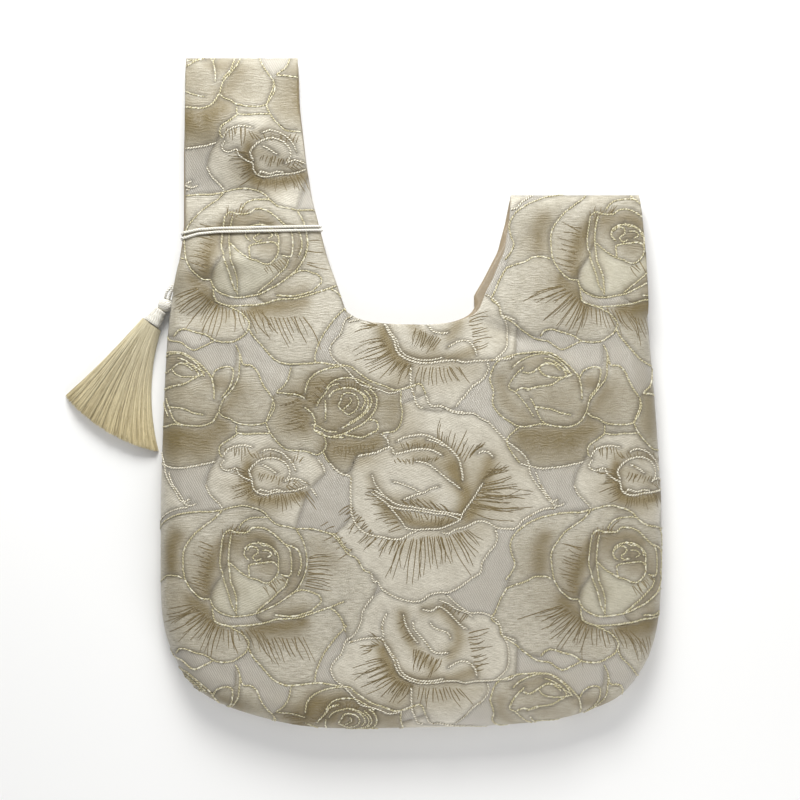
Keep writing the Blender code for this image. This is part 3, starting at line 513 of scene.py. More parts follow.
# Relief of the weaves, and how far out from the threads the painted shadow beside them reaches
WEAVES = ["ground", "ribbed", "cream", "pale"]
WEAVE_RISE = [0.0, 0.00030, 0.00042, 0.00042]
WEAVE_SLOPE = 0.0017
GROOVE_WIDTH = 0.00085
GROOVE_DEPTH = 0.00022
GROOVE_REACH = 0.0006
SEAM_GROOVE_DEPTH = 0.0005
SEAM_GROOVE_REACH = 0.0008
THREAD_SHADOW_REACH = 0.0011
SMOOTH_EDGE = 0.004
PROBE_REACH = 0.0008
RUMPLES = [
    # how far across the waves are, their seed, how high they are
    (0.013, 3, 0.00020),
    (0.0052, 4, 0.00008),
]
LINING_RUMPLE = (0.02, 9, 0.0001)

# Threads and stitches laid on the weave
THREAD_PITCH = 0.0027
THREAD_WANDER = 0.00005
LARGEST_WANDER = 0.0003
THREAD_LIFT = 0.00004
THREAD_SWELL = 0.22
STITCH_LIFT = 0.00006
STITCH_HEIGHT = 0.00014
STITCH_WIDTHS = (0.00024, 0.00038)
STITCH_SHARE = 1.6
OFF_CLOTH = 0.00012

# The tassel's knot, neck and silk
KNOT_STRAND = 0.00058
KNOT_LAYERS = [
    # slant, how far along the knot it goes, where it starts, turns
    (0.30, 0.86, 0.0, 9),
    (-0.42, 0.62, 0.4, 5),
    (0.1, 0.3, 0.2, 5),
]
NECK_STRAND = 0.00036
NECK_TURNS = 13
SILK_THREADS = 1250
LOCKS = 11
CORE_LEVEL = 0.97
CORE_END = 0.985


def unit(rows):
    """The rows, each made 1 long."""
    return rows / np.maximum(np.linalg.norm(rows, axis=1), 1e-12)[:, None]


def flat_ways(ways):
    """Ways across the bag's plan, as level ways in space."""
    return np.column_stack([ways, np.zeros(len(ways))])


def smooth_path(points, steps=12):
    """A smooth path through the points, with this many steps from each to the next."""
    rows = np.asarray(points, float)
    before = np.vstack([2 * rows[0] - rows[1], rows[:-1]])
    after = np.vstack([rows[1:], 2 * rows[-1] - rows[-2]])
    ways = (after - before) / 2
    t = (np.arange(1, steps + 1) / steps)[None, :, None]
    first, last, leave, arrive = (part[:, None] for part in (rows[:-1], rows[1:], ways[:-1], ways[1:]))
    between = (
        (2 * t**3 - 3 * t**2 + 1) * first + (t**3 - 2 * t**2 + t) * leave
        + (3 * t**2 - 2 * t**3) * last + (t**3 - t**2) * arrive
    )
    return np.vstack([rows[:1], between.reshape(-1, rows.shape[1])])


def run_along(path):
    """How far along the path each of its points is."""
    return np.concatenate([[0], np.cumsum(np.linalg.norm(np.diff(path, axis=0), axis=1))])


def length_of(path):
    """The length of a path."""
    return np.linalg.norm(np.diff(path, axis=0), axis=1).sum()


def spread(path, step):
    """Points spread evenly along a path, about a step apart."""
    run = run_along(path)
    wanted = np.linspace(0, 1, max(2, math.ceil(length_of(path) / step) + 1)) * run[-1]
    return np.stack([np.interp(wanted, run, path[:, axis]) for axis in range(path.shape[1])], axis=1)


def eased(share):
    """A smooth step from 0 to 1."""
    t = np.clip(share, 0, 1)
    return t * t * (3 - 2 * t)


def quarter_round(share):
    """The height of a quarter ellipse, 0 at its foot and 1 where it is level."""
    t = np.clip(share, 0, 1)
    return np.sqrt(1 - (1 - t) ** 2)


SEWN_CORNERS = np.array(SEWN_EDGE) * (HALF_WIDTH, NECK_HEIGHT)
SEWN_CORNERS[0, 1] = LEFT_SEAM_TOP
SEWN_CORNERS[-1, 1] = RIGHT_SEAM_TOP
SEWN_PATH = smooth_path(SEWN_CORNERS)


def nearest_on(path, points):
    """How far each point is from a path, and the way out across it there, to its right."""
    start, run = path[:-1], np.diff(path, axis=0)
    away = np.empty(len(points))
    way = np.empty((len(points), 2))
    for low in range(0, len(points), 20000):
        some = points[low : low + 20000]
        square = (some**2).sum(1)[:, None] + (path**2).sum(1)[None] - 2 * some @ path.T
        corner = square.argmin(axis=1)
        best = np.full(len(some), np.inf)
        chosen = np.zeros(len(some), int)
        for segment in (np.clip(corner - 1, 0, len(run) - 1), np.clip(corner, 0, len(run) - 1)):
            offset = some - start[segment]
            share = np.clip((offset * run[segment]).sum(1) / (run[segment] ** 2).sum(1), 0, 1)
            apart = np.linalg.norm(offset - share[:, None] * run[segment], axis=1)
            closer = apart < best
            best[closer] = apart[closer]
            chosen[closer] = segment[closer]
        away[low : low + 20000] = best
        way[low : low + 20000] = unit(np.stack([run[chosen, 1], -run[chosen, 0]], axis=1))
    return away, way


def seam_distance(points):
    """How far each point is from the sewn edge, and the way out across that edge."""
    return nearest_on(SEWN_PATH, points)


def strap_top(points):
    """The level of the strap top above each point: the long strap's on the left."""
    middle = (NECK_LEFT_CORNER + NECK_RIGHT_CORNER) / 2
    return np.where(points[:, 0] < middle, LONG_STRAP_TOP, SHORT_STRAP_TOP)


def seam_height(points):
    """The height of the seams, which comes down from the body to the strap tops."""
    rise = eased((points[:, 1] - NECK_HEIGHT) / STRAP_BLEND)
    return BODY_SEAM_HEIGHT + (STRAP_SEAM_HEIGHT - BODY_SEAM_HEIGHT) * rise


def fold_rise(points):
    """The sum of the soft folds at each point."""
    rise = np.zeros(len(points))
    for across, up, length, width, turn, height in FOLDS:
        offset = points - np.array((across * HALF_WIDTH, up * NECK_HEIGHT))
        cosine, sine = math.cos(math.radians(turn)), math.sin(math.radians(turn))
        lengthways = offset[:, 0] * cosine + offset[:, 1] * sine
        sideways = offset[:, 1] * cosine - offset[:, 0] * sine
        reach = (lengthways / length) ** 2 + (sideways / width) ** 2
        rise += height * np.exp(-reach / BAG_THICKNESS**2)
    return rise * BAG_THICKNESS


def rounded(away, top_gap, crown, roll):
    """The share of its full height that cloth has reached this far from its seam and strap top."""
    reach = np.minimum(roll, crown**2 / TIGHTEST_CURVE)
    return quarter_round(away / reach) * quarter_round(top_gap / STRAP_END_ROLL)


def front_crown(points):
    """How far the front panel's level part is over its seam."""
    rise = eased((points[:, 1] - NECK_HEIGHT + STRAP_BLEND * 0.1) / STRAP_BLEND)
    belly = BAG_THICKNESS * (1 - 0.16 * (points[:, 0] / HALF_WIDTH) ** 2)
    belly *= 1 - 0.22 * eased(points[:, 1] / NECK_HEIGHT - 0.35)
    return belly + (STRAP_LOFT - belly) * rise + fold_rise(points) - seam_height(points)


def outer_height(points, facing):
    """The height of the front panel's top, or of the back panel's underside, at each point."""
    away, _ = seam_distance(points)
    gap, seam = strap_top(points) - points[:, 1], seam_height(points)
    if facing < 0:
        return seam * (1 - rounded(away, gap, seam, BACK_ROLL))
    crown = front_crown(points)
    return seam + crown * rounded(away, gap, crown, FRONT_ROLL)


ROLL_TURNS = np.linspace(0, math.pi / 2, 65)
ROLL_SHAPES = np.linspace(0, 4, 81)


def roll_arcs():
    """How long a quarter ellipse is from each turn on to its level end, for each shape of it."""
    speed = np.sqrt(np.sin(ROLL_TURNS)[None] ** 2 + (ROLL_SHAPES[:, None] * np.cos(ROLL_TURNS)[None]) ** 2)
    arc = np.cumsum(((speed[:, 1:] + speed[:, :-1]) / 2 * ROLL_TURNS[1])[:, ::-1], axis=1)[:, ::-1]
    return np.hstack([arc, np.zeros((len(ROLL_SHAPES), 1))])


ROLL_ARCS = roll_arcs()


def laid_flat(points, facing):
    """Where each point of the bag's plan is on its cloth, laid flat."""
    away, way = seam_distance(points)
    crown = front_crown(points) if facing > 0 else seam_height(points)
    reach = np.minimum(FRONT_ROLL if facing > 0 else BACK_ROLL, crown**2 / TIGHTEST_CURVE)
    share = np.clip(away / reach, 0, 1)
    shape = np.clip(crown / reach / ROLL_SHAPES[1], 0, len(ROLL_SHAPES) - 1.001)
    turn = np.arccos(1 - share) / ROLL_TURNS[1]
    row, column = shape.astype(int), np.clip(turn.astype(int), 0, len(ROLL_TURNS) - 2)
    part, rest = shape - row, turn - column
    arc = (
        ROLL_ARCS[row, column] * (1 - part) * (1 - rest) + ROLL_ARCS[row + 1, column] * part * (1 - rest)
        + ROLL_ARCS[row, column + 1] * (1 - part) * rest + ROLL_ARCS[row + 1, column + 1] * part * rest
    )
    slack = np.where(share < 1, reach * (arc - 1 + share), 0)
    seam_top = np.where(points[:, 0] < 0, LEFT_SEAM_TOP, RIGHT_SEAM_TOP)
    return points + way * (slack * (1 - eased((points[:, 1] - seam_top) / 0.02)))[:, None]


def strap_edges(rows, edges, base_left, base_right, centre, width, top, peek):
    """The left and right edge points of a strap at these shares of its rise."""
    table = np.array(edges)
    left_flare, right_flare, peeks = (np.interp(rows, table[:, 0], table[:, column]) for column in (1, 2, 3))
    top_left, top_right = centre - width / 2, centre + width / 2
    left_x = top_left + (base_left[0] - top_left) * left_flare - peek * peeks
    left_x[0] = base_left[0]
    right_x = top_right + (base_right[0] - top_right) * right_flare
    left = np.stack([left_x, base_left[1] + (top - base_left[1]) * rows], axis=1)
    right = np.stack([right_x, base_right[1] + (top - base_right[1]) * rows], axis=1)
    return left, right


def strap_sides(step, edges, *shape):
    """A strap's two side edges as smooth runs from its base up."""
    rows = np.unique(np.concatenate([np.array(edges)[:, 0], np.linspace(0, 1, 11)]))
    return [spread(smooth_path(side, 6), step) for side in strap_edges(rows, edges, *shape)]


def panel_outline(facing, step):
    """A panel's outline as runs of points: its sewn edge, and its free edges."""
    peeks = 0 if facing > 0 else 1
    corner_rise = np.array((0, NECK_HEIGHT + NECK_CORNER_RISE))
    neck_left = corner_rise + (NECK_LEFT_CORNER, 0)
    neck_right = corner_rise + (NECK_RIGHT_CORNER - SHORT_STRAP_PEEK * SHORT_STRAP_EDGES[0][3] * peeks, 0)
    table = np.array(NECKLINE)
    neck_points = neck_left + (neck_right - neck_left) * table[:, :1]
    neck_points[:, 1] -= NECK_CORNER_RISE * table[:, 1]
    neck = spread(smooth_path(neck_points), step)
    long_left, long_right = strap_sides(
        step, LONG_STRAP_EDGES, SEWN_PATH[0], neck_left, LONG_STRAP_CENTRE, LONG_STRAP_WIDTH, LONG_STRAP_TOP,
        LONG_STRAP_PEEK * peeks,
    )
    short_left, short_right = strap_sides(
        step, SHORT_STRAP_EDGES, neck_right, SEWN_PATH[-1], SHORT_STRAP_CENTRE, SHORT_STRAP_WIDTH,
        SHORT_STRAP_TOP, SHORT_STRAP_PEEK * peeks,
    )
    return {
        "seam": spread(SEWN_PATH, step),
        "right": short_right,
        "short top": spread(np.array([short_right[-1], short_left[-1]]), step),
        "inner": np.vstack([short_left[::-1], neck[::-1][1:], long_right[1:]]),
        "long top": spread(np.array([long_right[-1], long_left[-1]]), step),
        "left": long_left[::-1],
    }


def closed_loop(runs):
    """The points round an outline, each once."""
    return np.vstack([run[:-1] for run in runs.values()])


def mesh_normals(points, triangles):
    """Unit normals at the points, each shared out from the triangles round it."""
    a, b, c = (points[triangles[:, corner]] for corner in range(3))
    face = np.cross(b - a, c - a)
    total = np.zeros_like(points)
    for corner in range(3):
        np.add.at(total, triangles[:, corner], face)
    return unit(total)


def tree_of(points):
    """A tree that finds the nearest of these points."""
    tree = KDTree(len(points))
    for n, point in enumerate(points):
        tree.insert((point[0], point[1], 0), n)
    tree.balance()
    return tree


def gaps_to(tree, points):
    """How far each point is from the tree's nearest."""
    return np.array([tree.find((x, y, 0))[2] for x, y in points])


def honeycomb(low, high, step):
    """Points in even rows over a box."""
    rows = np.arange(low[1], high[1], step * 0.866)
    columns = np.arange(low[0], high[0], step)
    x, y = np.meshgrid(columns, rows)
    x = x + np.where(np.arange(len(rows)) % 2, step / 2, 0)[:, None]
    return np.column_stack([x.ravel(), y.ravel()])


def anticlockwise(loop):
    """The loop, turned round if it goes clockwise."""
    after = np.roll(loop, -1, axis=0)
    return loop if (loop[:, 0] * after[:, 1] - after[:, 0] * loop[:, 1]).sum() > 0 else loop[::-1]


def turned(a, b, c):
    """Twice the area of each flat triangle, below zero where it goes clockwise."""
    return (b[:, 0] - a[:, 0]) * (c[:, 1] - a[:, 1]) - (b[:, 1] - a[:, 1]) * (c[:, 0] - a[:, 0])


def woven(loops, points):
    """Triangles over the first loop and the points in it, cut along every loop, each with the
    numbers of the loops that it lies in. The loops go anticlockwise."""
    corners = np.vstack([*loops, points])
    faces, start = [], 0
    for loop in loops:
        faces.append(list(range(start, start + len(loop))))
        start += len(loop)
    places = [tuple(point) for point in corners]
    found, _, made, origins, _, parents = delaunay_2d_cdt(places, [], faces, 0, 1e-7, True)
    kept = [n for n, inside in enumerate(parents) if 0 in inside and len(made[n]) == 3]
    triangles = np.array([made[n] for n in kept])
    flat = np.array([tuple(point) for point in found])
    turn = turned(*(flat[triangles[:, corner]] for corner in range(3)))
    triangles = np.where((turn < 0)[:, None], triangles[:, ::-1], triangles)
    used, triangles = np.unique(triangles, return_inverse=True)
    origin = np.array([origins[n][0] if origins[n] else -1 for n in used])
    return flat[used], triangles.reshape(-1, 3), origin, [parents[n] for n in kept]


def rim_edges(triangles):
    """The sides that only one triangle has, in the way that the triangle goes round."""
    sides = triangles[:, [0, 1, 1, 2, 2, 0]].reshape(-1, 2).tolist()
    met = {(end, start) for start, end in sides}
    return np.array([(start, end) for start, end in sides if (start, end) not in met])


class ClothMap:
    """Finds the values of a panel's points at any place on its cloth, laid flat."""

    def __init__(self, cloth, triangles, *values):
        self.cloth, self.triangles, self.values = cloth, triangles, values
        self.tree = BVHTree.FromPolygons([(x, y, 0.0) for x, y in cloth], triangles.tolist())

    def at(self, places):
        """Each kind of value at these places, and how far each place is off the cloth."""
        hits = [self.tree.find_nearest((x, y, 0.0)) for x, y in places]
        spot = np.array([hit[0][:2] for hit in hits])
        off = np.array([hit[3] for hit in hits])
        corners = self.triangles[[hit[2] for hit in hits]]
        a, b, c = (self.cloth[corners[:, corner]] for corner in range(3))
        whole = turned(a, b, c)
        whole = np.where(np.abs(whole) < 1e-16, 1e-16, whole)
        u, v = turned(spot, b, c) / whole, turned(spot, c, a) / whole
        shares = np.clip(np.column_stack([u, v, 1 - u - v]), 0, 1)
        shares /= shares.sum(1)[:, None]
        return [(value[corners] * shares[:, :, None]).sum(1) for value in self.values], off


def chart_places(numbers):
    """Chart steps, across and down in turn, as places on the cloth."""
    steps = np.array(numbers, float).reshape(-1, 2)
    return np.column_stack([steps[:, 0] - CHART_MIDDLE, CHART_BOTTOM - steps[:, 1]]) * CHART_STEP


def fill_border(parts):
    """The chart steps round a fill: stretches of threads, and places between them."""
    numbers = []
    for part in parts:
        if isinstance(part, tuple):
            rose, thread, first, last = part
            way = 1 if last > first else -1
            numbers.extend(np.reshape(rose[thread], (-1, 2))[np.arange(first, last + way, way)].ravel())
        else:
            numbers.append(part)
    return numbers


def repeats(places, low, high, shift):
    """Copies of chart places, by whole repeats, wherever they can touch the box."""
    copies = []
    for across in range(-2, 3):
        for up in range(-2, 4):
            moved = places + shift + np.array((across * REPEAT[0], up * REPEAT[1])) * CHART_STEP
            if (moved.max(0) > low).all() and (moved.min(0) < high).all():
                copies.append(moved)
    return copies


def shrunk(run, inset):
    """A run of points moved in from its line, to its left."""
    path = unit(np.gradient(run, axis=0))
    return run + np.column_stack([-path[:, 1], path[:, 0]]) * inset


def thread_runs(cloth, shift):
    """The outline threads over the cloth, as runs of places, with whether each is gold."""
    low, high = cloth.min(0), cloth.max(0)
    runs = []
    for rose, gold in THREADS:
        for numbers in rose.values():
            for copy in repeats(chart_places(numbers), low, high, shift):
                runs.append((smooth_path(copy, 5), gold))
    return runs


def plan_mesh(facing, step, turns, inner_step, clear=-1):
    """The plan of a panel on a coarse mesh that is closer near the seam."""
    runs = panel_outline(facing, step)
    outline = closed_loop(runs)
    _, ways = seam_distance(runs["seam"])
    rings = [runs["seam"] - ways * FRONT_ROLL * (1 - math.cos(math.radians(turn))) for turn in turns]
    inside = np.vstack([*rings, honeycomb(outline.min(0), outline.max(0), inner_step)])
    inside = inside[gaps_to(tree_of(outline), inside) > clear]
    planned, triangles, _, _ = woven([outline], inside)
    return planned, triangles


def panel_surface(facing, step, shift):
    """A panel's outer face: its points in plan and on the cloth, triangles, weaves and outlines."""
    plan, plan_triangles = plan_mesh(facing, PLAN_STEP, range(8, 90, 9), PLAN_STEP * 1.25)
    finder = ClothMap(laid_flat(plan, facing), plan_triangles, plan)
    runs = panel_outline(facing, step)
    outline = closed_loop(runs)
    loop = laid_flat(outline, facing)
    low, high = loop.min(0), loop.max(0)

    borders, kinds = [], []
    for kind, parts in FILLS:
        closed = chart_places(fill_border(parts))
        for copy in repeats(np.vstack([closed, closed[:1]]), low, high, shift):
            borders.append(anticlockwise(spread(smooth_path(copy, 4), step)[:-1]))
            kinds.append(kind)
    rings = []
    for inset in RIM_INSETS:
        for side in FREE_SIDES:
            _, ways = nearest_on(runs[side], runs[side])
            rings.append(laid_flat(runs[side] - ways * inset, facing))
        if inset > RIM_INSETS[0]:
            rings.append(shrunk(laid_flat(runs["seam"], facing), inset))
    rings = np.vstack(rings)
    taken = np.vstack([loop, *borders, rings])
    threads = [spread(run, step * 0.8) for run, _ in thread_runs(loop, shift)]
    inner = [rings]
    for offset in (0.0, -GROOVE_WIDTH, GROOVE_WIDTH) if facing > 0 else (0.0,):
        beside = np.vstack([shrunk(run, offset) for run in threads + borders])
        beside = beside[gaps_to(tree_of(taken), beside) > GROOVE_WIDTH * 0.6]
        _, first = np.unique(np.round(beside / (GROOVE_WIDTH * 0.6)), axis=0, return_index=True)
        inner.append(beside[np.sort(first)])
        taken = np.vstack([taken, inner[-1]])
    grid = honeycomb(low, high, step)
    grid = grid[gaps_to(tree_of(taken), grid) > step * 0.55]
    cloth, triangles, origin, parents = woven([loop, *borders], np.vstack([*inner, grid]))
    weaves = np.array([
        WEAVES.index(kinds[max(n for n in inside if n > 0) - 1]) if max(inside) else 0 for inside in parents
    ])
    (planned,), _ = finder.at(cloth)
    known = (origin >= 0) & (origin < len(outline))
    planned[known] = outline[origin[known]]
    return planned, cloth, triangles, weaves, runs, borders


def rumple(cloth, scale, seed):
    """Smooth uneven waves over the cloth, from -1 to 1, about this far across."""
    waves = np.random.default_rng(seed)
    total = np.zeros(len(cloth))
    for _ in range(9):
        turn, phase = waves.uniform(0, 2 * math.pi, 2)
        pitch = scale * waves.uniform(0.7, 1.6)
        lengthways = cloth[:, 0] * math.cos(turn) + cloth[:, 1] * math.sin(turn)
        total += np.sin(lengthways * 2 * math.pi / pitch + phase)
    return total / 5


def add_piece(name, points, faces, materials, slots=None, **values):
    """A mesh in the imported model's frame that rides on the bag. The values are kept at its points."""
    mesh = bpy.data.meshes.new(name)
    mesh.from_pydata(np.asarray(points) + SHIFT, [], faces)
    mesh.shade_smooth()
    for material in materials:
        mesh.materials.append(material)
    if slots is not None:
        mesh.polygons.foreach_set("material_index", np.asarray(slots, np.int32))
    for kind, numbers in values.items():
        if numbers.shape[1] == 2:
            numbers = flat_ways(numbers)
        made = mesh.attributes.new(kind, "FLOAT_VECTOR", "POINT")
        made.data.foreach_set("vector", np.asarray(numbers, np.float32).ravel())
    mesh.update()
    piece = bpy.data.objects.new(name, mesh)
    bpy.context.scene.collection.objects.link(piece)
    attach(piece, "root")
    return piece


def gilding(cloth, shift):
    """How gold the weave is at each point."""
    low, high = cloth.min(0), cloth.max(0)
    plain = np.ones(len(cloth))
    for reach, share, numbers in GILDING:
        line, far = spread(smooth_path(chart_places(numbers), 4), 0.0012), reach * CHART_STEP
        for copy in repeats(line, low - 0.01, high + 0.01, shift):
            near = ((cloth > copy.min(0) - far * 2.4) & (cloth < copy.max(0) + far * 2.4)).all(axis=1)
            if near.any():
                apart = ((cloth[near, None] - copy[None]) ** 2).sum(2).min(axis=1)
                plain[near] *= 1 - share * np.exp(-apart / far**2)
    return 1 - plain


def weave_relief(cloth, triangles, weaves, near):
    """How far the weave stands out at each point, with grooves beside the threads."""
    rise = np.zeros(len(cloth))
    for weave, height in enumerate(WEAVE_RISE):
        here = np.unique(triangles[weaves == weave])
        rise[here] = np.maximum(rise[here], height)
    relief = rise * (1 - np.exp(-((near / WEAVE_SLOPE) ** 1.3)))
    relief -= GROOVE_DEPTH * np.exp(-((near / GROOVE_REACH) ** 2))
    return relief + sum(rumple(cloth, across, seed) * height for across, seed, height in RUMPLES)


def ways_off(planned, triangles, border):
    """The way out of the plan at each of its points that are on the border."""
    outward = np.zeros((len(planned), 2))
    for start, end in np.unique(np.sort(border, axis=1), axis=0):
        run = planned[end] - planned[start]
        side = np.array((run[1], -run[0])) / max(np.linalg.norm(run), 1e-9)
        for corner in (start, end):
            outward[corner] += side if side @ outward[corner] >= 0 else -side
    rim = np.unique(border)
    _, off = ClothMap(planned, triangles, planned).at(planned[rim] + unit(outward[rim]) * PROBE_REACH)
    outward[rim[off < PROBE_REACH * 3 / 8]] *= -1
    return outward


def make_panel(name, facing, step, shift, materials):
    """A brocade panel with its threads: the face, rounded over at its free edges, and its hem."""
    planned, cloth, triangles, weaves, runs, borders = panel_surface(facing, step, shift)
    base = np.column_stack([planned, outer_height(planned, facing)])
    away, ways = seam_distance(planned)
    border = rim_edges(triangles)
    rim = np.unique(border)
    sewn_runs = (SEWN_PATH, runs["short top"], runs["long top"])
    sewn_tree = tree_of(np.vstack([spread(run, 0.0004) for run in sewn_runs]))
    free_tree = tree_of(np.vstack([spread(runs[side], 0.0002) for side in FREE_SIDES]))
    sewn = np.zeros(len(planned), bool)
    sewn[rim[gaps_to(sewn_tree, planned[rim]) < 0.0003]] = True
    base[sewn, 2] = seam_height(planned[sewn]) + facing * SEAM_GAP / 2
    out = mesh_normals(base, triangles) * facing
    level_ways = np.where((planned[:, 1] > NECK_HEIGHT + 0.03)[:, None], (0.0, 1.0), ways)
    out[sewn] = flat_ways(level_ways[sewn])

    threads = thread_runs(cloth, shift)
    near = gaps_to(tree_of(np.vstack([spread(run, 0.0006) for run, _ in threads] + borders)), cloth)
    to_free = gaps_to(free_tree, planned)
    to_edge = np.minimum(to_free, gaps_to(sewn_tree, planned))
    relief = weave_relief(cloth, triangles, weaves, near) * eased(to_edge / SMOOTH_EDGE)
    over = np.clip(EDGE_ROUND - to_free, 0, EDGE_ROUND)
    drop = EDGE_ROUND - np.sqrt(np.maximum(EDGE_ROUND**2 - over**2, 0))
    seam = np.column_stack([planned + ways * away[:, None], seam_height(planned)])
    groove = SEAM_GROOVE_DEPTH * np.exp(-((np.linalg.norm(base - seam, axis=1) / SEAM_GROOVE_REACH) ** 2))
    points = base + out * (relief - drop * ~sewn - groove * ~sewn)[:, None]
    points[:, 2] = np.maximum(points[:, 2], LOWEST_CLOTH)

    outward = ways_off(planned, triangles, border)
    outward[sewn] = level_ways[sewn]
    outward = flat_ways(unit(outward))[rim]
    held = sewn[rim]
    bends = np.radians((30, 60, 90))
    profile = [(EDGE_ROUND * (1 + math.sin(a)), EDGE_ROUND * (1 - math.cos(a))) for a in bends]
    profile.append((EDGE_ROUND * 2.05, HEM))
    rings = []
    for deep, inset in profile:
        ring = base[rim] - out[rim] * deep - outward * inset
        ring[held] = base[rim][held] - outward[held] * (deep * 0.6 + inset * 0.5)
        rings.append(ring)
    levels = [border] + [len(points) + n * len(rim) + np.searchsorted(rim, border) for n in range(len(rings))]
    upper, lower = np.array(levels[:-1]), np.array(levels[1:])
    quads = np.concatenate([upper[:, :, ::-1], lower], axis=2).transpose(1, 0, 2).reshape(-1, 4)
    faces = [face[::facing] for face in triangles.tolist() + quads.tolist()]
    # At each point: the gold shading of the weave, the painted shadow beside the threads, and how far the
    # nearest thread is
    shades = np.column_stack([gilding(cloth, shift), np.exp(-((near / THREAD_SHADOW_REACH) ** 2)), near * 100])
    piece = add_piece(
        name, np.vstack([points, *rings]), faces, materials,
        slots=np.concatenate([weaves, np.zeros(len(quads), int)]),
        cloth=np.vstack([cloth] + [cloth[rim] + outward[:, :2] * 0.001 * (n + 1) for n in range(len(rings))]),
        shade=np.vstack([shades, *[shades[rim]] * len(rings)]),
    )
    normal = mesh_normals(points, triangles) * facing
    return piece, ClothMap(cloth, triangles, points, normal), threads


def grid_faces(rows, columns):
    """Faces between the rows and columns of a grid of points."""
    corner = np.arange((rows - 1) * columns).reshape(rows - 1, columns)[:, : columns - 1].ravel()
    return np.column_stack([corner, corner + 1, corner + columns + 1, corner + columns]).tolist()


def thread_spots(run, turns, chance):
    """How far along and round a thread each point is, with a number of the thread's own."""
    parts = np.broadcast_arrays(run[:, None], turns[None] / math.pi, np.full((1, 1), chance))
    return np.stack(parts, axis=2).reshape(-1, 3)


def swept(line, normal, width, height, sides, twist, lift, phase, thin_end=1.0):
    """An arched thread along a line on cloth: its points, faces and spots."""
    across = unit(np.cross(unit(np.gradient(line, axis=0)), normal))
    run = run_along(line)
    turns = np.radians(np.linspace(-25, 205, sides))
    swell = 1 + twist * np.cos(turns[None] * 2 - 2 * math.pi * run[:, None] / THREAD_PITCH + phase)
    ends = np.minimum(run, run[-1] - run) / (width * 1.5)
    taper = np.sqrt(np.clip(ends, 0.02, 1))[:, None] * np.linspace(1, thin_end, len(line))[:, None]
    points = (
        line[:, None]
        + across[:, None] * (np.cos(turns)[None] * swell * width * taper)[:, :, None]
        + normal[:, None] * ((np.sin(turns)[None] * swell * height * taper) + lift)[:, :, None]
    )
    return points.reshape(-1, 3), grid_faces(len(line), sides), thread_spots(run, turns, phase)


def add_strands(name, parts, material):
    """One piece from the points, faces and spots of its parts, clear of the surface under it."""
    points, faces, spots, total = [], [], [], 0
    for some, made, spot in parts:
        points.append(some)
        spots.append(spot)
        faces += [[n + total for n in face] for face in made]
        total += len(some)
    points = np.vstack(points)
    points[:, 2] = np.maximum(points[:, 2], FLOOR_CLEARANCE)
    return add_piece(name, points, faces, [material], spot=np.vstack(spots))


def make_threads(name, finder, threads, gold, step, sides, width, height, material):
    """The raised outline threads of one colour, laid on the cloth."""
    parts = []
    for run, is_gold in threads:
        if is_gold != gold:
            continue
        places = spread(run, step)
        wander = np.cumsum(rng.normal(0, THREAD_WANDER, (len(places), 2)), axis=0)
        wander -= np.linspace(0, 1, len(places))[:, None] * wander[-1]
        places = places + np.clip(wander, -LARGEST_WANDER, LARGEST_WANDER)
        (line, normal), off = finder.at(places)
        normal = unit(normal)
        held = off < OFF_CLOTH
        breaks = np.flatnonzero(np.diff(held.astype(int))) + 1
        for part in np.split(np.arange(len(places)), breaks):
            if len(part) < 4 or not held[part[0]]:
                continue
            parts.append(swept(line[part], normal[part], width * rng.uniform(0.85, 1.15), height, sides,
                               THREAD_SWELL, THREAD_LIFT, rng.uniform(0, 6)))
    return add_strands(name, parts, material)


def make_stitches(name, finder, shift, step, material):
    """The fans of single gold stitches."""
    parts = []
    low, high = finder.cloth.min(0), finder.cloth.max(0)
    for *corners, count in FANS:
        for copy in repeats(chart_places(corners), low, high, shift):
            for share in np.linspace(0, 1, round(count * STITCH_SHARE)):
                start = copy[0] + (copy[1] - copy[0]) * share + rng.normal(0, 0.0003, 2)
                end = copy[2] + (copy[3] - copy[2]) * share + rng.normal(0, 0.0006, 2)
                end = start + (end - start) * rng.uniform(0.5, 1.15)
                bend = np.array((start[1] - end[1], end[0] - start[0])) * rng.normal(0, 0.05)
                places = spread(smooth_path([start, (start + end) / 2 + bend, end], 4), step)
                (line, normal), off = finder.at(places)
                if off.max() > OFF_CLOTH or len(line) < 3:
                    continue
                parts.append(swept(line, unit(normal), rng.uniform(*STITCH_WIDTHS), STITCH_HEIGHT, 3, 0,
                                   STITCH_LIFT, rng.uniform(0, 6), 0.5))
    return add_strands(name, parts, material)


def make_lining(name, facing, material):
    """A panel's lining: a closed sheet inside the brocade."""
    planned, triangles = plan_mesh(facing, LINING_STEP, range(10, 90, 12), LINING_STEP * 1.6, LINING_CLEAR)
    base = np.column_stack([planned, outer_height(planned, facing)])
    out = mesh_normals(base, triangles) * facing
    away, ways = seam_distance(planned)
    tops = strap_top(planned) - planned[:, 1] < 1e-5
    sewn = (away < 1e-5) | tops
    base[sewn, 2] = seam_height(planned[sewn]) + facing * SEAM_GAP / 2
    out[sewn] = flat_ways(np.where(tops[:, None], (0.0, 1.0), ways)[sewn])
    across, seed, height = LINING_RUMPLE
    ruck = rumple(planned, across, seed) * height
    top = base - out * (BROCADE + PLY_GAP)
    low = base - out * (LINED_WALL + ruck * ~sewn)[:, None]
    count = len(planned)
    rim = [(end, start, start + count, end + count) for start, end in rim_edges(triangles).tolist()]
    faces = triangles.tolist() + (triangles[:, ::-1] + count).tolist() + rim
    piece = add_piece(name, np.vstack([top, low]), [face[::facing] for face in faces], [material],
                      cloth=np.vstack([planned, planned]))
    return piece, laid_flat(planned, facing), triangles


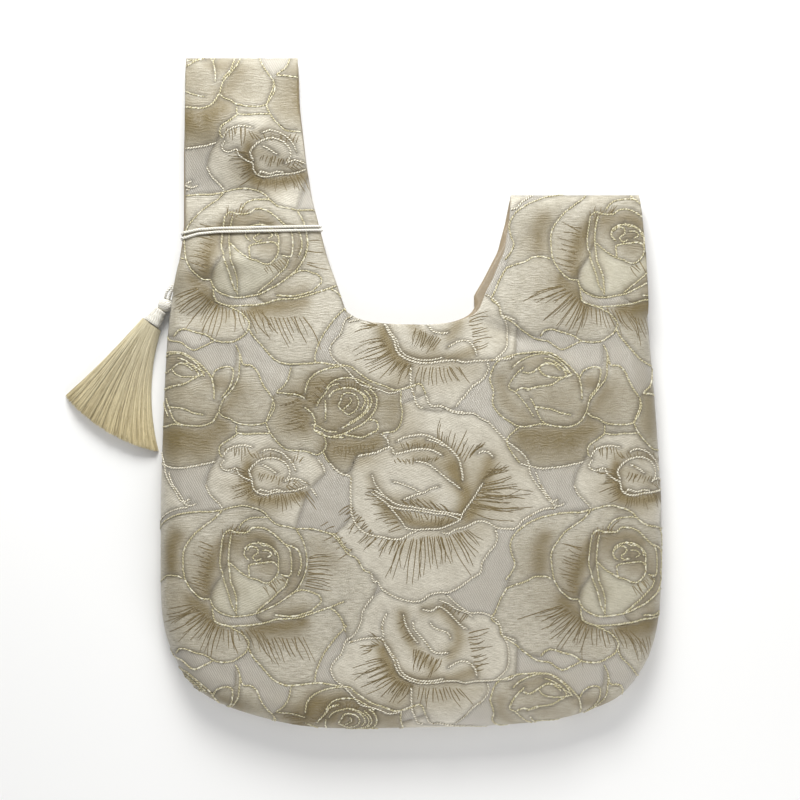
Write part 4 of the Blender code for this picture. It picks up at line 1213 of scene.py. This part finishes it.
def round_strap(level):
    """The taut way of the cord round the front half of the long strap at this level, from its
    left edge underneath: x, z pairs with the share of the turn that each is at."""
    sides = strap_edges(
        np.linspace(0, 1, 60), LONG_STRAP_EDGES, SEWN_PATH[0],
        (NECK_LEFT_CORNER, NECK_HEIGHT + NECK_CORNER_RISE), LONG_STRAP_CENTRE, LONG_STRAP_WIDTH,
        LONG_STRAP_TOP, 0,
    )
    left, right = (np.interp(level, side[:, 1], side[:, 0]) for side in sides)
    row = np.column_stack([np.linspace(left, right, 40), np.full(40, level)])
    top = outer_height(row, 1)
    section = np.vstack([np.column_stack([row[:, 0], height]) for height in (top, top - LINED_WALL)])
    ways = np.radians(np.arange(-135, 225, 3))
    out = np.column_stack([np.cos(ways), np.sin(ways)])
    held = section[(section @ out.T).argmax(axis=0)] + out * (CORD_DIAMETER / 2 + CORD_GAP)
    held = np.vstack([held, held[:1]])
    run = run_along(held)
    return held, run / run[-1]


def cord_route():
    """The points of the cord's centre line."""
    turns = np.array(CORD_TURNS)
    wound = []
    for step in np.arange(turns[0, 0], turns[-1, 0], 0.004):
        level = np.interp(step, turns[:, 0], turns[:, 1])
        held, shares = round_strap(level)
        across, height = (np.interp(step % 1, shares, held[:, axis]) for axis in (0, 1))
        wound.append((across, level, height))
    route = spread(np.vstack([smooth_path(CORD_START), wound, smooth_path(CORD_END)]), ROUTE_STEP)
    for _ in range(4):
        route[1:-1] = (route[:-2] + 2 * route[1:-1] + route[2:]) / 4
    return route


def tube(line, radius, sides, twist=0.0, pitch=0.002):
    """A closed tube along a line, laid up of two strands: its points, faces and spots."""
    step = unit(np.gradient(line, axis=0))
    side = np.cross(step[0], UP)
    if np.linalg.norm(side) < 1e-3:
        side = np.cross(step[0], (0.0, 1.0, 0.0))
    across = []
    for way in step:
        side = side - way * (side @ way)
        side = side / np.linalg.norm(side)
        across.append(side)
    across = np.array(across)
    other = np.cross(step, across)
    run = run_along(line)
    turns = np.linspace(0, 2 * math.pi, sides + 1)
    out = np.broadcast_to(radius, len(line))[:, None]
    out = out * (1 + twist * np.cos(2 * (turns[None] - 2 * math.pi * run[:, None] / pitch)))
    points = line[:, None] + across[:, None] * (np.cos(turns) * out)[:, :, None]
    points = points + other[:, None] * (np.sin(turns) * out)[:, :, None]
    ends = [list(range(sides, 0, -1)), [(len(line) - 1) * (sides + 1) + n for n in range(sides)]]
    return points.reshape(-1, 3), grid_faces(len(line), sides + 1) + ends, thread_spots(run, turns, 0.0)


def wound(middle, side, other, angle, radius):
    """A line that goes round a middle line at this angle and radius."""
    return middle + side * (np.cos(angle) * radius)[:, None] + other * (np.sin(angle) * radius)[:, None]


def tassel_places():
    """The centres of the knot, of both ends of the neck, and of the top of the skirt."""
    knot = np.array((
        SEWN_PATH[0, 0] - KNOT_LENGTH / 2 + KNOT_SIDE_STEP,
        SEWN_PATH[0, 1] - KNOT_DROP,
        FLOOR_CLEARANCE + NECK_END_RADIUS,
    ))
    down = np.array((-math.sin(NECK_TURN), -math.cos(NECK_TURN), 0))
    neck_top = knot + down * (KNOT_THICKNESS / 2 + PLY_GAP)
    neck_end = neck_top + down * NECK_LENGTH
    return knot, neck_top, neck_end, neck_end + down * PLY_GAP


def make_knot(material):
    """The knot: turns of cord round a ball that is a little longer than it is thick."""
    knot, _, _, _ = tassel_places()
    turn = -NECK_TURN / 3
    long_way = np.array((math.cos(turn), math.sin(turn), 0))
    side_way = np.array((-math.sin(turn), math.cos(turn), 0))
    parts = []
    for slant, reach, offset, turns in KNOT_LAYERS:
        t = np.linspace(0, 1, turns * 26)
        angle = t * turns * 2 * math.pi + offset
        across = np.clip((t * 2 - 1) * reach + slant * 0.4 * np.sin(angle), -0.93, 0.93)
        thick = np.sqrt(1 - (np.abs(across) ** 2.6)) * (KNOT_THICKNESS / 2 - KNOT_STRAND * 0.6)
        middle = knot + long_way * (across * (KNOT_LENGTH / 2 - KNOT_STRAND))[:, None]
        parts.append(tube(wound(middle, side_way, UP, angle, thick), KNOT_STRAND, 7, 0.12, 0.0016))
    return add_strands("knot", parts, material)


def make_neck(material):
    """The head of the tassel, wound round and round with thread."""
    _, neck_top, neck_end, _ = tassel_places()
    down = (neck_end - neck_top) / NECK_LENGTH
    side = np.array((down[1], -down[0], 0))
    t = np.linspace(0, 1, NECK_TURNS * 30)
    angle = t * NECK_TURNS * 2 * math.pi
    share = t + 0.035 * np.cos(angle + 0.5)
    radius = NECK_TOP_RADIUS + (NECK_END_RADIUS - NECK_TOP_RADIUS) * eased(share) - NECK_STRAND
    middle = neck_top + down * (np.clip(share, 0.02, 0.98) * NECK_LENGTH)[:, None]
    line = wound(middle, side, UP, angle, radius * (1 + 0.04 * np.sin(t * 17)))
    rows = np.linspace(0, 1, 12)
    core = neck_top + down * NECK_LENGTH * rows[:, None]
    core_radius = NECK_TOP_RADIUS + (NECK_END_RADIUS - NECK_TOP_RADIUS) * eased(rows) - 0.0005
    parts = [tube(line, NECK_STRAND, 7, 0.1, 0.0012), tube(core, core_radius, 24)]
    return add_strands("neck_winding", parts, material)


LOCK_SPREAD = rng.uniform(0.4, 1.6, LOCKS)
LOCK_EDGES = np.concatenate([[-1], -1 + 2 * np.cumsum(LOCK_SPREAD) / LOCK_SPREAD.sum()])


def skirt_place(a, s, level):
    """A place in the skirt: a from side to side, s from its top to its cut end, level from the
    bottom to the top of its threads."""
    _, _, _, top = tassel_places()
    across = np.array((math.cos(NECK_TURN), -math.sin(NECK_TURN)))
    start = top[:2] + across * (a * SKIRT_TOP_WIDTH / 2)[:, None]
    heading = TASSEL_TURN + (NECK_TURN - TASSEL_TURN) * 0.5 * (1 - s)
    heading = heading - a * SKIRT_SPREAD / 2 * (0.55 + 0.45 * s)
    length = SKIRT_LENGTH * s * (1.05 + 0.05 * a)
    place = start - length[:, None] * np.column_stack([np.sin(heading), np.cos(heading)])
    lock = np.interp(a, LOCK_EDGES, np.arange(len(LOCK_EDGES))) % 1
    dip = 1 - 0.22 * eased(s * 2) * (2 * np.abs(lock - 0.5)) ** 4
    crown = np.sqrt(np.maximum(1 - np.abs(a) ** 2.6, 0))
    height = 2 * NECK_END_RADIUS + (SKIRT_END_HEIGHT - 2 * NECK_END_RADIUS) * eased(s * 1.4)
    high = height * (0.12 + 0.88 * crown * dip)
    low = height * 0.06 * (1 - crown)
    return np.column_stack([place, FLOOR_CLEARANCE + low + (high - low) * level])


def make_skirt(material):
    """The silk: a full core of threads with single threads laid over it, cut off uneven."""
    down, sideways, levels = np.linspace(0, CORE_END, 40), np.linspace(-1, 1, 220), np.linspace(0, 1, 5)
    parts = []
    for s, a, level, turn in (
        (down, sideways, [1.0], 1), (down, sideways, [0.0], -1), (down, [-1.0], levels, 1),
        (down, [1.0], levels, 1), ([CORE_END], sideways, levels, 1),
    ):
        s, a, level = np.meshgrid(s, a, level, indexing="ij")
        rows, columns = (count for count in s.shape if count > 1)
        third = a if s.shape[2] == 1 else level
        points = skirt_place(a.ravel(), s.ravel(), level.ravel() * CORE_LEVEL)
        spots = np.column_stack([s.ravel() * SKIRT_LENGTH, a.ravel(), third.ravel()])
        parts.append((points, [face[::turn] for face in grid_faces(rows, columns)], spots))
    for n in range(SILK_THREADS):
        base = rng.uniform(-0.995, 0.995)
        drift = rng.normal(0, 0.03)
        end = 1 - abs(rng.normal(0, 0.02))
        t = np.linspace(0.0, 1, 16)
        where = np.clip(base + drift * np.sin(t * 2.6 + rng.uniform(0, 6)) * t, -1, 1)
        level = 1.0 + rng.uniform(-0.02, 0.05) if n % 3 else rng.uniform(0.15, 0.95)
        if level < 0.96:
            t = np.linspace(0.88, 1, 6)
            where = np.full(6, base)
        line = skirt_place(where, t * end, np.full(len(t), level))
        radius = rng.uniform(0.00011, 0.00019) * np.interp(t, [0, 0.1, 0.9, 1], [0.8, 1, 1, 0.6])
        points, faces, spots = tube(line, radius, 3)
        spots[:, 1] = base
        spots[:, 2] = rng.uniform(0, 1)
        parts.append((points, faces[:-2], spots))
    return add_strands("silk_skirt", parts, material)


def feed(socket, value):
    """Set a socket to a value, or join it to another socket."""
    if isinstance(value, bpy.types.NodeSocket):
        socket.id_data.links.new(value, socket)
    else:
        socket.default_value = value


def put(tree, kind, settings=(), **inputs):
    """A node with its settings, and each named input set to a value or joined to a socket."""
    made = tree.nodes.new(kind)
    for name, value in dict(settings).items():
        setattr(made, name, value)
    for name, value in inputs.items():
        feed(made.inputs[name], value)
    return made


def tree_with(*values):
    """The node tree of the first socket among the values."""
    return next(value.id_data for value in values if isinstance(value, bpy.types.NodeSocket))


def reckon(operation, *values, clamp=False):
    """The result of a Math node."""
    made = put(tree_with(*values), "ShaderNodeMath", {"operation": operation, "use_clamp": clamp})
    for socket, value in zip(made.inputs, values):
        feed(socket, value)
    return made.outputs[0]


def scaled(value, by, plus=0.0, clamp=False):
    """A value times another, plus a third."""
    return reckon("MULTIPLY_ADD", value, by, plus, clamp=clamp)


def blend_colours(share, first, second, mode="MIX"):
    """The result of a colour Mix node."""
    settings = {"data_type": "RGBA", "blend_type": mode, "clamp_result": True}
    made = put(tree_with(share, first, second), "ShaderNodeMix", settings)
    for n, value in ((0, share), (6, first), (7, second)):
        feed(made.inputs[n], value)
    return made.outputs[2]


def parts_of(vector):
    """The three numbers of a vector."""
    return put(vector.id_data, "ShaderNodeSeparateXYZ", Vector=vector).outputs


def place_of(x, y=0.0, z=0.0):
    """The place with these three numbers."""
    return put(x.id_data, "ShaderNodeCombineXYZ", X=x, Y=y, Z=z).outputs[0]


def noise(place, scale, detail, roughness=0.5):
    """Smooth noise over a place."""
    looks = {"Scale": scale, "Detail": detail, "Roughness": roughness}
    return put(place.id_data, "ShaderNodeTexNoise", Vector=place, **looks).outputs[0]


def effect(name, inputs, outputs):
    """A node group with named inputs, vectors where they have no value: its tree and both ends."""
    tree = bpy.data.node_groups.new(name, "ShaderNodeTree")
    for label, value in inputs.items():
        kind = "NodeSocketVector" if value is None else "NodeSocketFloat"
        socket = tree.interface.new_socket(label, in_out="INPUT", socket_type=kind)
        if value is not None:
            socket.default_value = value
    for label in outputs:
        tree.interface.new_socket(label, in_out="OUTPUT", socket_type="NodeSocketFloat")
    return tree, tree.nodes.new("NodeGroupInput").outputs, tree.nodes.new("NodeGroupOutput").inputs


def give(end, **results):
    """Join an effect's results to its outputs."""
    for label, value in results.items():
        feed(end[label], value)


def use(shader, group, **inputs):
    """The outputs of a placed effect with its own values."""
    return put(shader.id_data, "ShaderNodeGroup", {"node_tree": group}, **inputs).outputs


def tone(red, green, blue):
    """A colour given on a screen's scale of 255, as the shader's own."""
    parts = [value / 255 for value in (red, green, blue)]
    return tuple(p / 12.92 if p <= 0.04045 else ((p + 0.055) / 1.055) ** 2.4 for p in parts) + (1.0,)


def twill_effect():
    """Satin twill: fine dots of thread in slanting rows."""
    tree, given, end = effect("twill", {"Place": None, "Pitch": 0.001}, ["Thread", "Height"])
    fuzz = noise(given["Place"], 900.0, 3.0)
    x, y, _ = parts_of(given["Place"])
    turns = reckon("DIVIDE", 2 * math.pi, given["Pitch"])
    slant = scaled(scaled(y, 0.55, x), turns)
    cross = scaled(scaled(x, -0.25, y), turns)
    first = reckon("SINE", scaled(reckon("SUBTRACT", fuzz, 0.5), 3.6, slant))
    second = reckon("SINE", scaled(cross, 1.7))
    dots = scaled(scaled(first, second), 0.35, scaled(first, 0.2, 0.5), clamp=True)
    give(end, Thread=dots, Height=scaled(fuzz, 0.4, dots))
    return tree


def rib_effect():
    """Cross ribs of weft thread, wavy and uneven."""
    inputs = {"Place": None, "Pitch": 0.0009, "Waviness": 1.0, "Slant": 0.0}
    tree, given, end = effect("ribs", inputs, ["Rib", "Streak", "Height"])
    x, level, _ = parts_of(given["Place"])
    y = scaled(x, given["Slant"], level)
    bend = reckon("SUBTRACT", noise(given["Place"], 90.0, 3.0), 0.5)
    wave = scaled(bend, scaled(given["Waviness"], 14.0))
    turns = reckon("DIVIDE", 2 * math.pi, given["Pitch"])
    rib = scaled(reckon("SINE", scaled(y, turns, wave)), 0.5, 0.5)
    streak = noise(place_of(scaled(x, 260.0), scaled(y, 1900.0)), 1.0, 4.0, 0.6)
    give(end, Rib=rib, Streak=streak, Height=scaled(streak, 0.9, rib))
    return tree


def cloud_effect():
    """Slow unevenness of colour, and fine flecks, from the cloth's own places."""
    tree, given, end = effect("unevenness", {"Place": None, "Size": 40.0}, ["Cloud", "Fleck"])
    give(end, Cloud=noise(given["Place"], given["Size"], 4.0), Fleck=noise(given["Place"], 2200.0, 2.0))
    return tree


def ply_effect():
    """Twisted thread: bands that go round it, from how far along and round it each point is."""
    tree, given, end = effect("twisted ply", {"Spot": None, "Pitch": 0.002}, ["Band", "Fibre", "Chance"])
    run, half_turns, chance = parts_of(given["Spot"])
    on = reckon("DIVIDE", scaled(run, 2 * math.pi), given["Pitch"])
    turn = scaled(reckon("SUBTRACT", scaled(half_turns, math.pi), on), 2.0, chance)
    give(
        end,
        Band=scaled(reckon("COSINE", turn), 0.5, 0.5),
        Fibre=noise(place_of(scaled(run, 500.0), scaled(turn, 1.6), chance), 1.5, 3.0),
        Chance=noise(place_of(scaled(run, 620.0), 0.0, scaled(chance, 7.0)), 1.0, 2.0),
    )
    return tree


TWILL, RIBS, CLOUD, PLY = twill_effect(), rib_effect(), cloud_effect(), ply_effect()


def new_material(name, roughness, specular=0.5, sheen=0.0):
    """A material with a plain shader, and that shader."""
    made = bpy.data.materials.new(name)
    made.use_nodes = True
    shader = made.node_tree.nodes["Principled BSDF"]
    shader.inputs["Roughness"].default_value = roughness
    shader.inputs["Specular IOR Level"].default_value = specular
    shader.inputs["Sheen Weight"].default_value = sheen
    return made, shader


def read(shader, name):
    """The values kept at the points of the mesh under this name."""
    settings = {"attribute_type": "GEOMETRY", "attribute_name": name}
    return put(shader.id_data, "ShaderNodeAttribute", settings).outputs["Vector"]


def bump(shader, height, distance):
    """Let a height stand out from the surface, up to this distance."""
    made = put(shader.id_data, "ShaderNodeBump", Height=height, Distance=distance, Strength=1.0)
    feed(shader.inputs["Normal"], made.outputs[0])


def shaded_colour(shader, colour, gold, gold_share, grain, thread_shadow_share):
    """Give the weave its colour with soft gold shading over it, darkened by painted shadow beside the outline
    threads.
    """
    gilt, thread_shadow, _ = parts_of(read(shader, "shade"))
    gilt = reckon("MULTIPLY", reckon("MULTIPLY", gilt, scaled(grain, 0.9, 0.55)), gold_share, clamp=True)
    colour = blend_colours(gilt, colour, gold)
    # Painted shadow beside the outline threads and fill edges, multiplied in as a dark olive tone
    edge = reckon("MULTIPLY", thread_shadow, thread_shadow_share, clamp=True)
    feed(shader.inputs["Base Color"], blend_colours(edge, colour, tone(96, 86, 62), "MULTIPLY"))


def ground_satin(name):
    """The bare satin ground between the roses."""
    made, shader = new_material(name, 0.36, 0.95, 0.25)
    place = read(shader, "cloth")
    twill = use(shader, TWILL, Place=place, Pitch=0.0011)
    cloud = use(shader, CLOUD, Place=place, Size=70.0)
    colour = blend_colours(twill["Thread"], tone(114, 107, 96), tone(202, 196, 184))
    colour = blend_colours(reckon("MULTIPLY", cloud["Cloud"], 0.4), colour, tone(190, 182, 164))
    shaded_colour(shader, colour, tone(146, 132, 96), 0.45, cloud["Fleck"], 0.4)
    feed(shader.inputs["Roughness"], scaled(twill["Thread"], -0.12, 0.42))
    bump(shader, scaled(cloud["Fleck"], 0.35, twill["Height"]), 0.00015)
    return made


def ribbed_weave(name):
    """The ribbed gold-grey weave of the roses."""
    made, shader = new_material(name, 0.45, 0.8, 0.2)
    place = read(shader, "cloth")
    ribs = use(shader, RIBS, Place=place, Pitch=0.00066, Waviness=2.4)
    cloud = use(shader, CLOUD, Place=place, Size=75.0)
    dark = blend_colours(cloud["Cloud"], tone(112, 102, 78), tone(140, 130, 110))
    light = blend_colours(cloud["Cloud"], tone(206, 200, 182), tone(186, 179, 162))
    grain = scaled(cloud["Fleck"], 1.5, scaled(ribs["Rib"], 0.1, -1.22))
    colour = blend_colours(scaled(ribs["Streak"], 2.1, grain, clamp=True), dark, light)
    shaded_colour(shader, colour, tone(112, 96, 52), 1.05, ribs["Streak"], 0.55)
    feed(shader.inputs["Roughness"], scaled(ribs["Streak"], -0.15, 0.52))
    bump(shader, scaled(cloud["Fleck"], 1.2, ribs["Height"]), 0.00009)
    return made


def smooth_weave(name, dark, light, gilt_share):
    """The smooth pale weave of the roses."""
    made, shader = new_material(name, 0.42, 0.85, 0.25)
    place = read(shader, "cloth")
    ribs = use(shader, RIBS, Place=place, Pitch=0.00075, Waviness=1.5, Slant=0.3)
    cloud = use(shader, CLOUD, Place=place, Size=80.0)
    grain = scaled(cloud["Cloud"], 0.5, scaled(cloud["Fleck"], 1.1, -0.98))
    colour = blend_colours(scaled(ribs["Streak"], 1.5, grain, clamp=True), dark, light)
    shaded_colour(shader, colour, tone(122, 105, 60), gilt_share, cloud["Fleck"], 0.6)
    feed(shader.inputs["Roughness"], scaled(cloud["Fleck"], 0.16, 0.4))
    bump(shader, scaled(cloud["Fleck"], 0.8, reckon("MULTIPLY", ribs["Height"], 0.6)), 0.00014)
    return made


def twisted_thread(name, dark, light, dash, dash_share, roughness, pitch):
    """Two-ply thread, darkened by painted shade in the grooves between its plies, with paler or darker dashes
    along it.
    """
    made, shader = new_material(name, roughness, 0.5, 0.2)
    ply = use(shader, PLY, Spot=read(shader, "spot"), Pitch=pitch)
    # The band darkens the thread between its plies: painted shade in the grooves of the twist
    share = scaled(ply["Fibre"], 0.7, scaled(ply["Band"], 1.1, -0.35), clamp=True)
    dashes = reckon("MULTIPLY", scaled(ply["Chance"], 7.0, -3.9 + dash_share, clamp=True), 0.8)
    colour = blend_colours(dashes, blend_colours(share, dark, light), dash)
    feed(shader.inputs["Base Color"], colour)
    bump(shader, scaled(ply["Fibre"], 0.5, ply["Band"]), 0.00012)
    return made


def lining_satin(name):
    """The plain satin of the lining."""
    made, shader = new_material(name, 0.36, 0.6, 0.2)
    place = read(shader, "cloth")
    ribs = use(shader, RIBS, Place=place, Pitch=0.0004, Waviness=0.3)
    cloud = use(shader, CLOUD, Place=place, Size=45.0)
    share = scaled(cloud["Cloud"], 0.6, reckon("MULTIPLY", ribs["Streak"], 0.4))
    feed(shader.inputs["Base Color"], blend_colours(share, tone(142, 124, 98), tone(184, 168, 142)))
    bump(shader, ribs["Height"], 0.00005)
    return made


def silk_threads(name):
    """The tassel's silk, paler at its top."""
    made, shader = new_material(name, 0.34, 0.6, 0.3)
    shader.inputs["Anisotropic"].default_value = 0.5
    run, across, chance = parts_of(read(shader, "spot"))
    lines = place_of(scaled(run, 25.0), scaled(across, 36.0), scaled(chance, 5.0))
    down = reckon("DIVIDE", run, SKIRT_LENGTH, clamp=True)
    dark = blend_colours(down, tone(172, 158, 118), tone(116, 95, 50))
    light = blend_colours(down, tone(232, 223, 194), tone(224, 210, 168))
    share = scaled(noise(lines, 1.6, 5.0, 0.7), 3.6, -1.15, clamp=True)
    feed(shader.inputs["Base Color"], blend_colours(share, dark, light))
    bump(shader, noise(place_of(scaled(run, 12.0), scaled(across, 260.0)), 1.5, 2.0), 0.0002)
    return made


CLOTHS = [
    ground_satin("ground_satin"),
    ribbed_weave("ribbed_weave"),
    smooth_weave("cream_weave", tone(148, 139, 120), tone(218, 212, 196), 1.0),
    smooth_weave("pale_weave", tone(150, 142, 118), tone(204, 199, 180), 0.8),
]
CREAM_THREAD, GOLD_THREAD, STITCH_THREAD, CORD = (twisted_thread(*looks) for looks in (
    # name, dark (painted shade between the plies), light, dash, dash share, roughness, pitch
    ("cream_thread", tone(120, 105, 72), tone(250, 245, 228), tone(150, 136, 100), 0.0, 0.5, THREAD_PITCH),
    ("gold_thread", tone(104, 90, 50), tone(220, 211, 172), tone(242, 237, 216), 0.4, 0.46, THREAD_PITCH),
    ("stitch_thread", tone(92, 77, 42), tone(138, 120, 78), tone(160, 144, 104), 0.1, 0.55, 0.0014),
    ("cord_thread", tone(196, 190, 174), tone(246, 244, 238), tone(226, 222, 208), 0.0, 0.5, 0.0024),
))
LINING_SATIN = lining_satin("lining_satin")
SILK = silk_threads("silk_threads")

# The front and the back, with their outline threads and stitches. The back shows less, so it is coarser
OUTLINES = [
    # colour, half width, height, material
    ("cream", 0.00048, 0.00046, CREAM_THREAD),
    ("gold", 0.00042, 0.00040, GOLD_THREAD),
]
BACK_SHIFT = np.array((0.5, 0.35)) * np.array(REPEAT) * CHART_STEP
for side, facing, step, shift, sides, thread_step, stitch_step in (
    # side, way it faces, step of its mesh, place of its pattern, sides of its threads, steps along
    # its threads and stitches
    ("front", 1, 0.00125, np.zeros(2), 5, 0.0005, 0.0009),
    ("back", -1, 0.0019, BACK_SHIFT, 4, 0.0011, 0.002),
):
    panel, finder, threads = make_panel(f"{side}_brocade", facing, step, shift, CLOTHS)
    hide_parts(f"{side}_panel")
    on_it = [
        make_threads(f"{side}_{colour}_outline", finder, threads, colour == "gold", thread_step, sides, width,
                     height, material)
        for colour, width, height, material in OUTLINES
    ]
    on_it.append(make_stitches(f"{side}_stitches", finder, shift, stitch_step, STITCH_THREAD))
    lining, cut, triangles = make_lining(f"{side}_satin_lining", facing, LINING_SATIN)
    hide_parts(f"{side}_lining")

# The cord and its tassel
route = cord_route()
cord = add_strands("twisted_cord", [tube(route, CORD_DIAMETER / 2, 10, 0.1, 0.0026)], CORD)
knot, neck, skirt = make_knot(CORD), make_neck(CORD), make_skirt(SILK)
for piece, node, finish_of in (
    (cord, "tassel_cord", "cord"), (knot, "tassel_knot", "cord"), (neck, "tassel_neck", "cord"),
    (skirt, "tassel_skirt", "silk"),
):
    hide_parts(node)

# The surface that the bag lies on, the light and the camera
bpy.ops.mesh.primitive_plane_add(size=6)
floor = bpy.context.object
floor.name = "floor"
floor_paint, floor_shader = new_material("pale_floor", 0.9)
floor_shader.inputs["Base Color"].default_value = (0.94, 0.94, 0.94, 1)
floor.data.materials.append(floor_paint)

for name, place, aim, size, power, colour in (
    # name, place, what it points at, size, power, colour
    ("key", (-0.15, 1.3, 0.95), (0, 0, 0), 0.7, 19, (1.0, 0.985, 0.94)),
    ("window", (-0.02, 0.42, 0.26), (0, 0.1, 0), 0.25, 1.4, (0.95, 0.98, 1.0)),
    ("fill", (0.4, -0.95, 0.36), (0, 0, 0), 0.8, 7, (1, 1, 1)),
    ("top", (0, 0.1, 1.6), (0, 0, 0), 1.4, 3, (1, 1, 1)),
):
    lamp = bpy.data.lights.new(name, "AREA")
    lamp.size, lamp.energy, lamp.color = size, power, colour
    light = bpy.data.objects.new(name, lamp)
    light.location = place
    light.rotation_euler = (Vector(aim) - Vector(place)).to_track_quat("-Z", "Y").to_euler()
    bpy.context.scene.collection.objects.link(light)

world = bpy.data.worlds.new("studio")
world.use_nodes = True
world.node_tree.nodes["Background"].inputs[0].default_value = (1, 1, 1, 1)
world.node_tree.nodes["Background"].inputs[1].default_value = 0.27
bpy.context.scene.world = world
bpy.context.scene.view_settings.view_transform = "Standard"

VIEW_WIDTH = 0.384
VIEW_DISTANCE = 1.1
VIEW_CENTRE = (0.01728, -0.00354, 0.009)
camera_data = bpy.data.cameras.new("camera")
camera_data.lens = 36 * VIEW_DISTANCE / VIEW_WIDTH
camera = bpy.data.objects.new("camera", camera_data)
camera.location = (VIEW_CENTRE[0], VIEW_CENTRE[1], VIEW_CENTRE[2] + VIEW_DISTANCE)
bpy.context.scene.collection.objects.link(camera)
bpy.context.scene.camera = camera
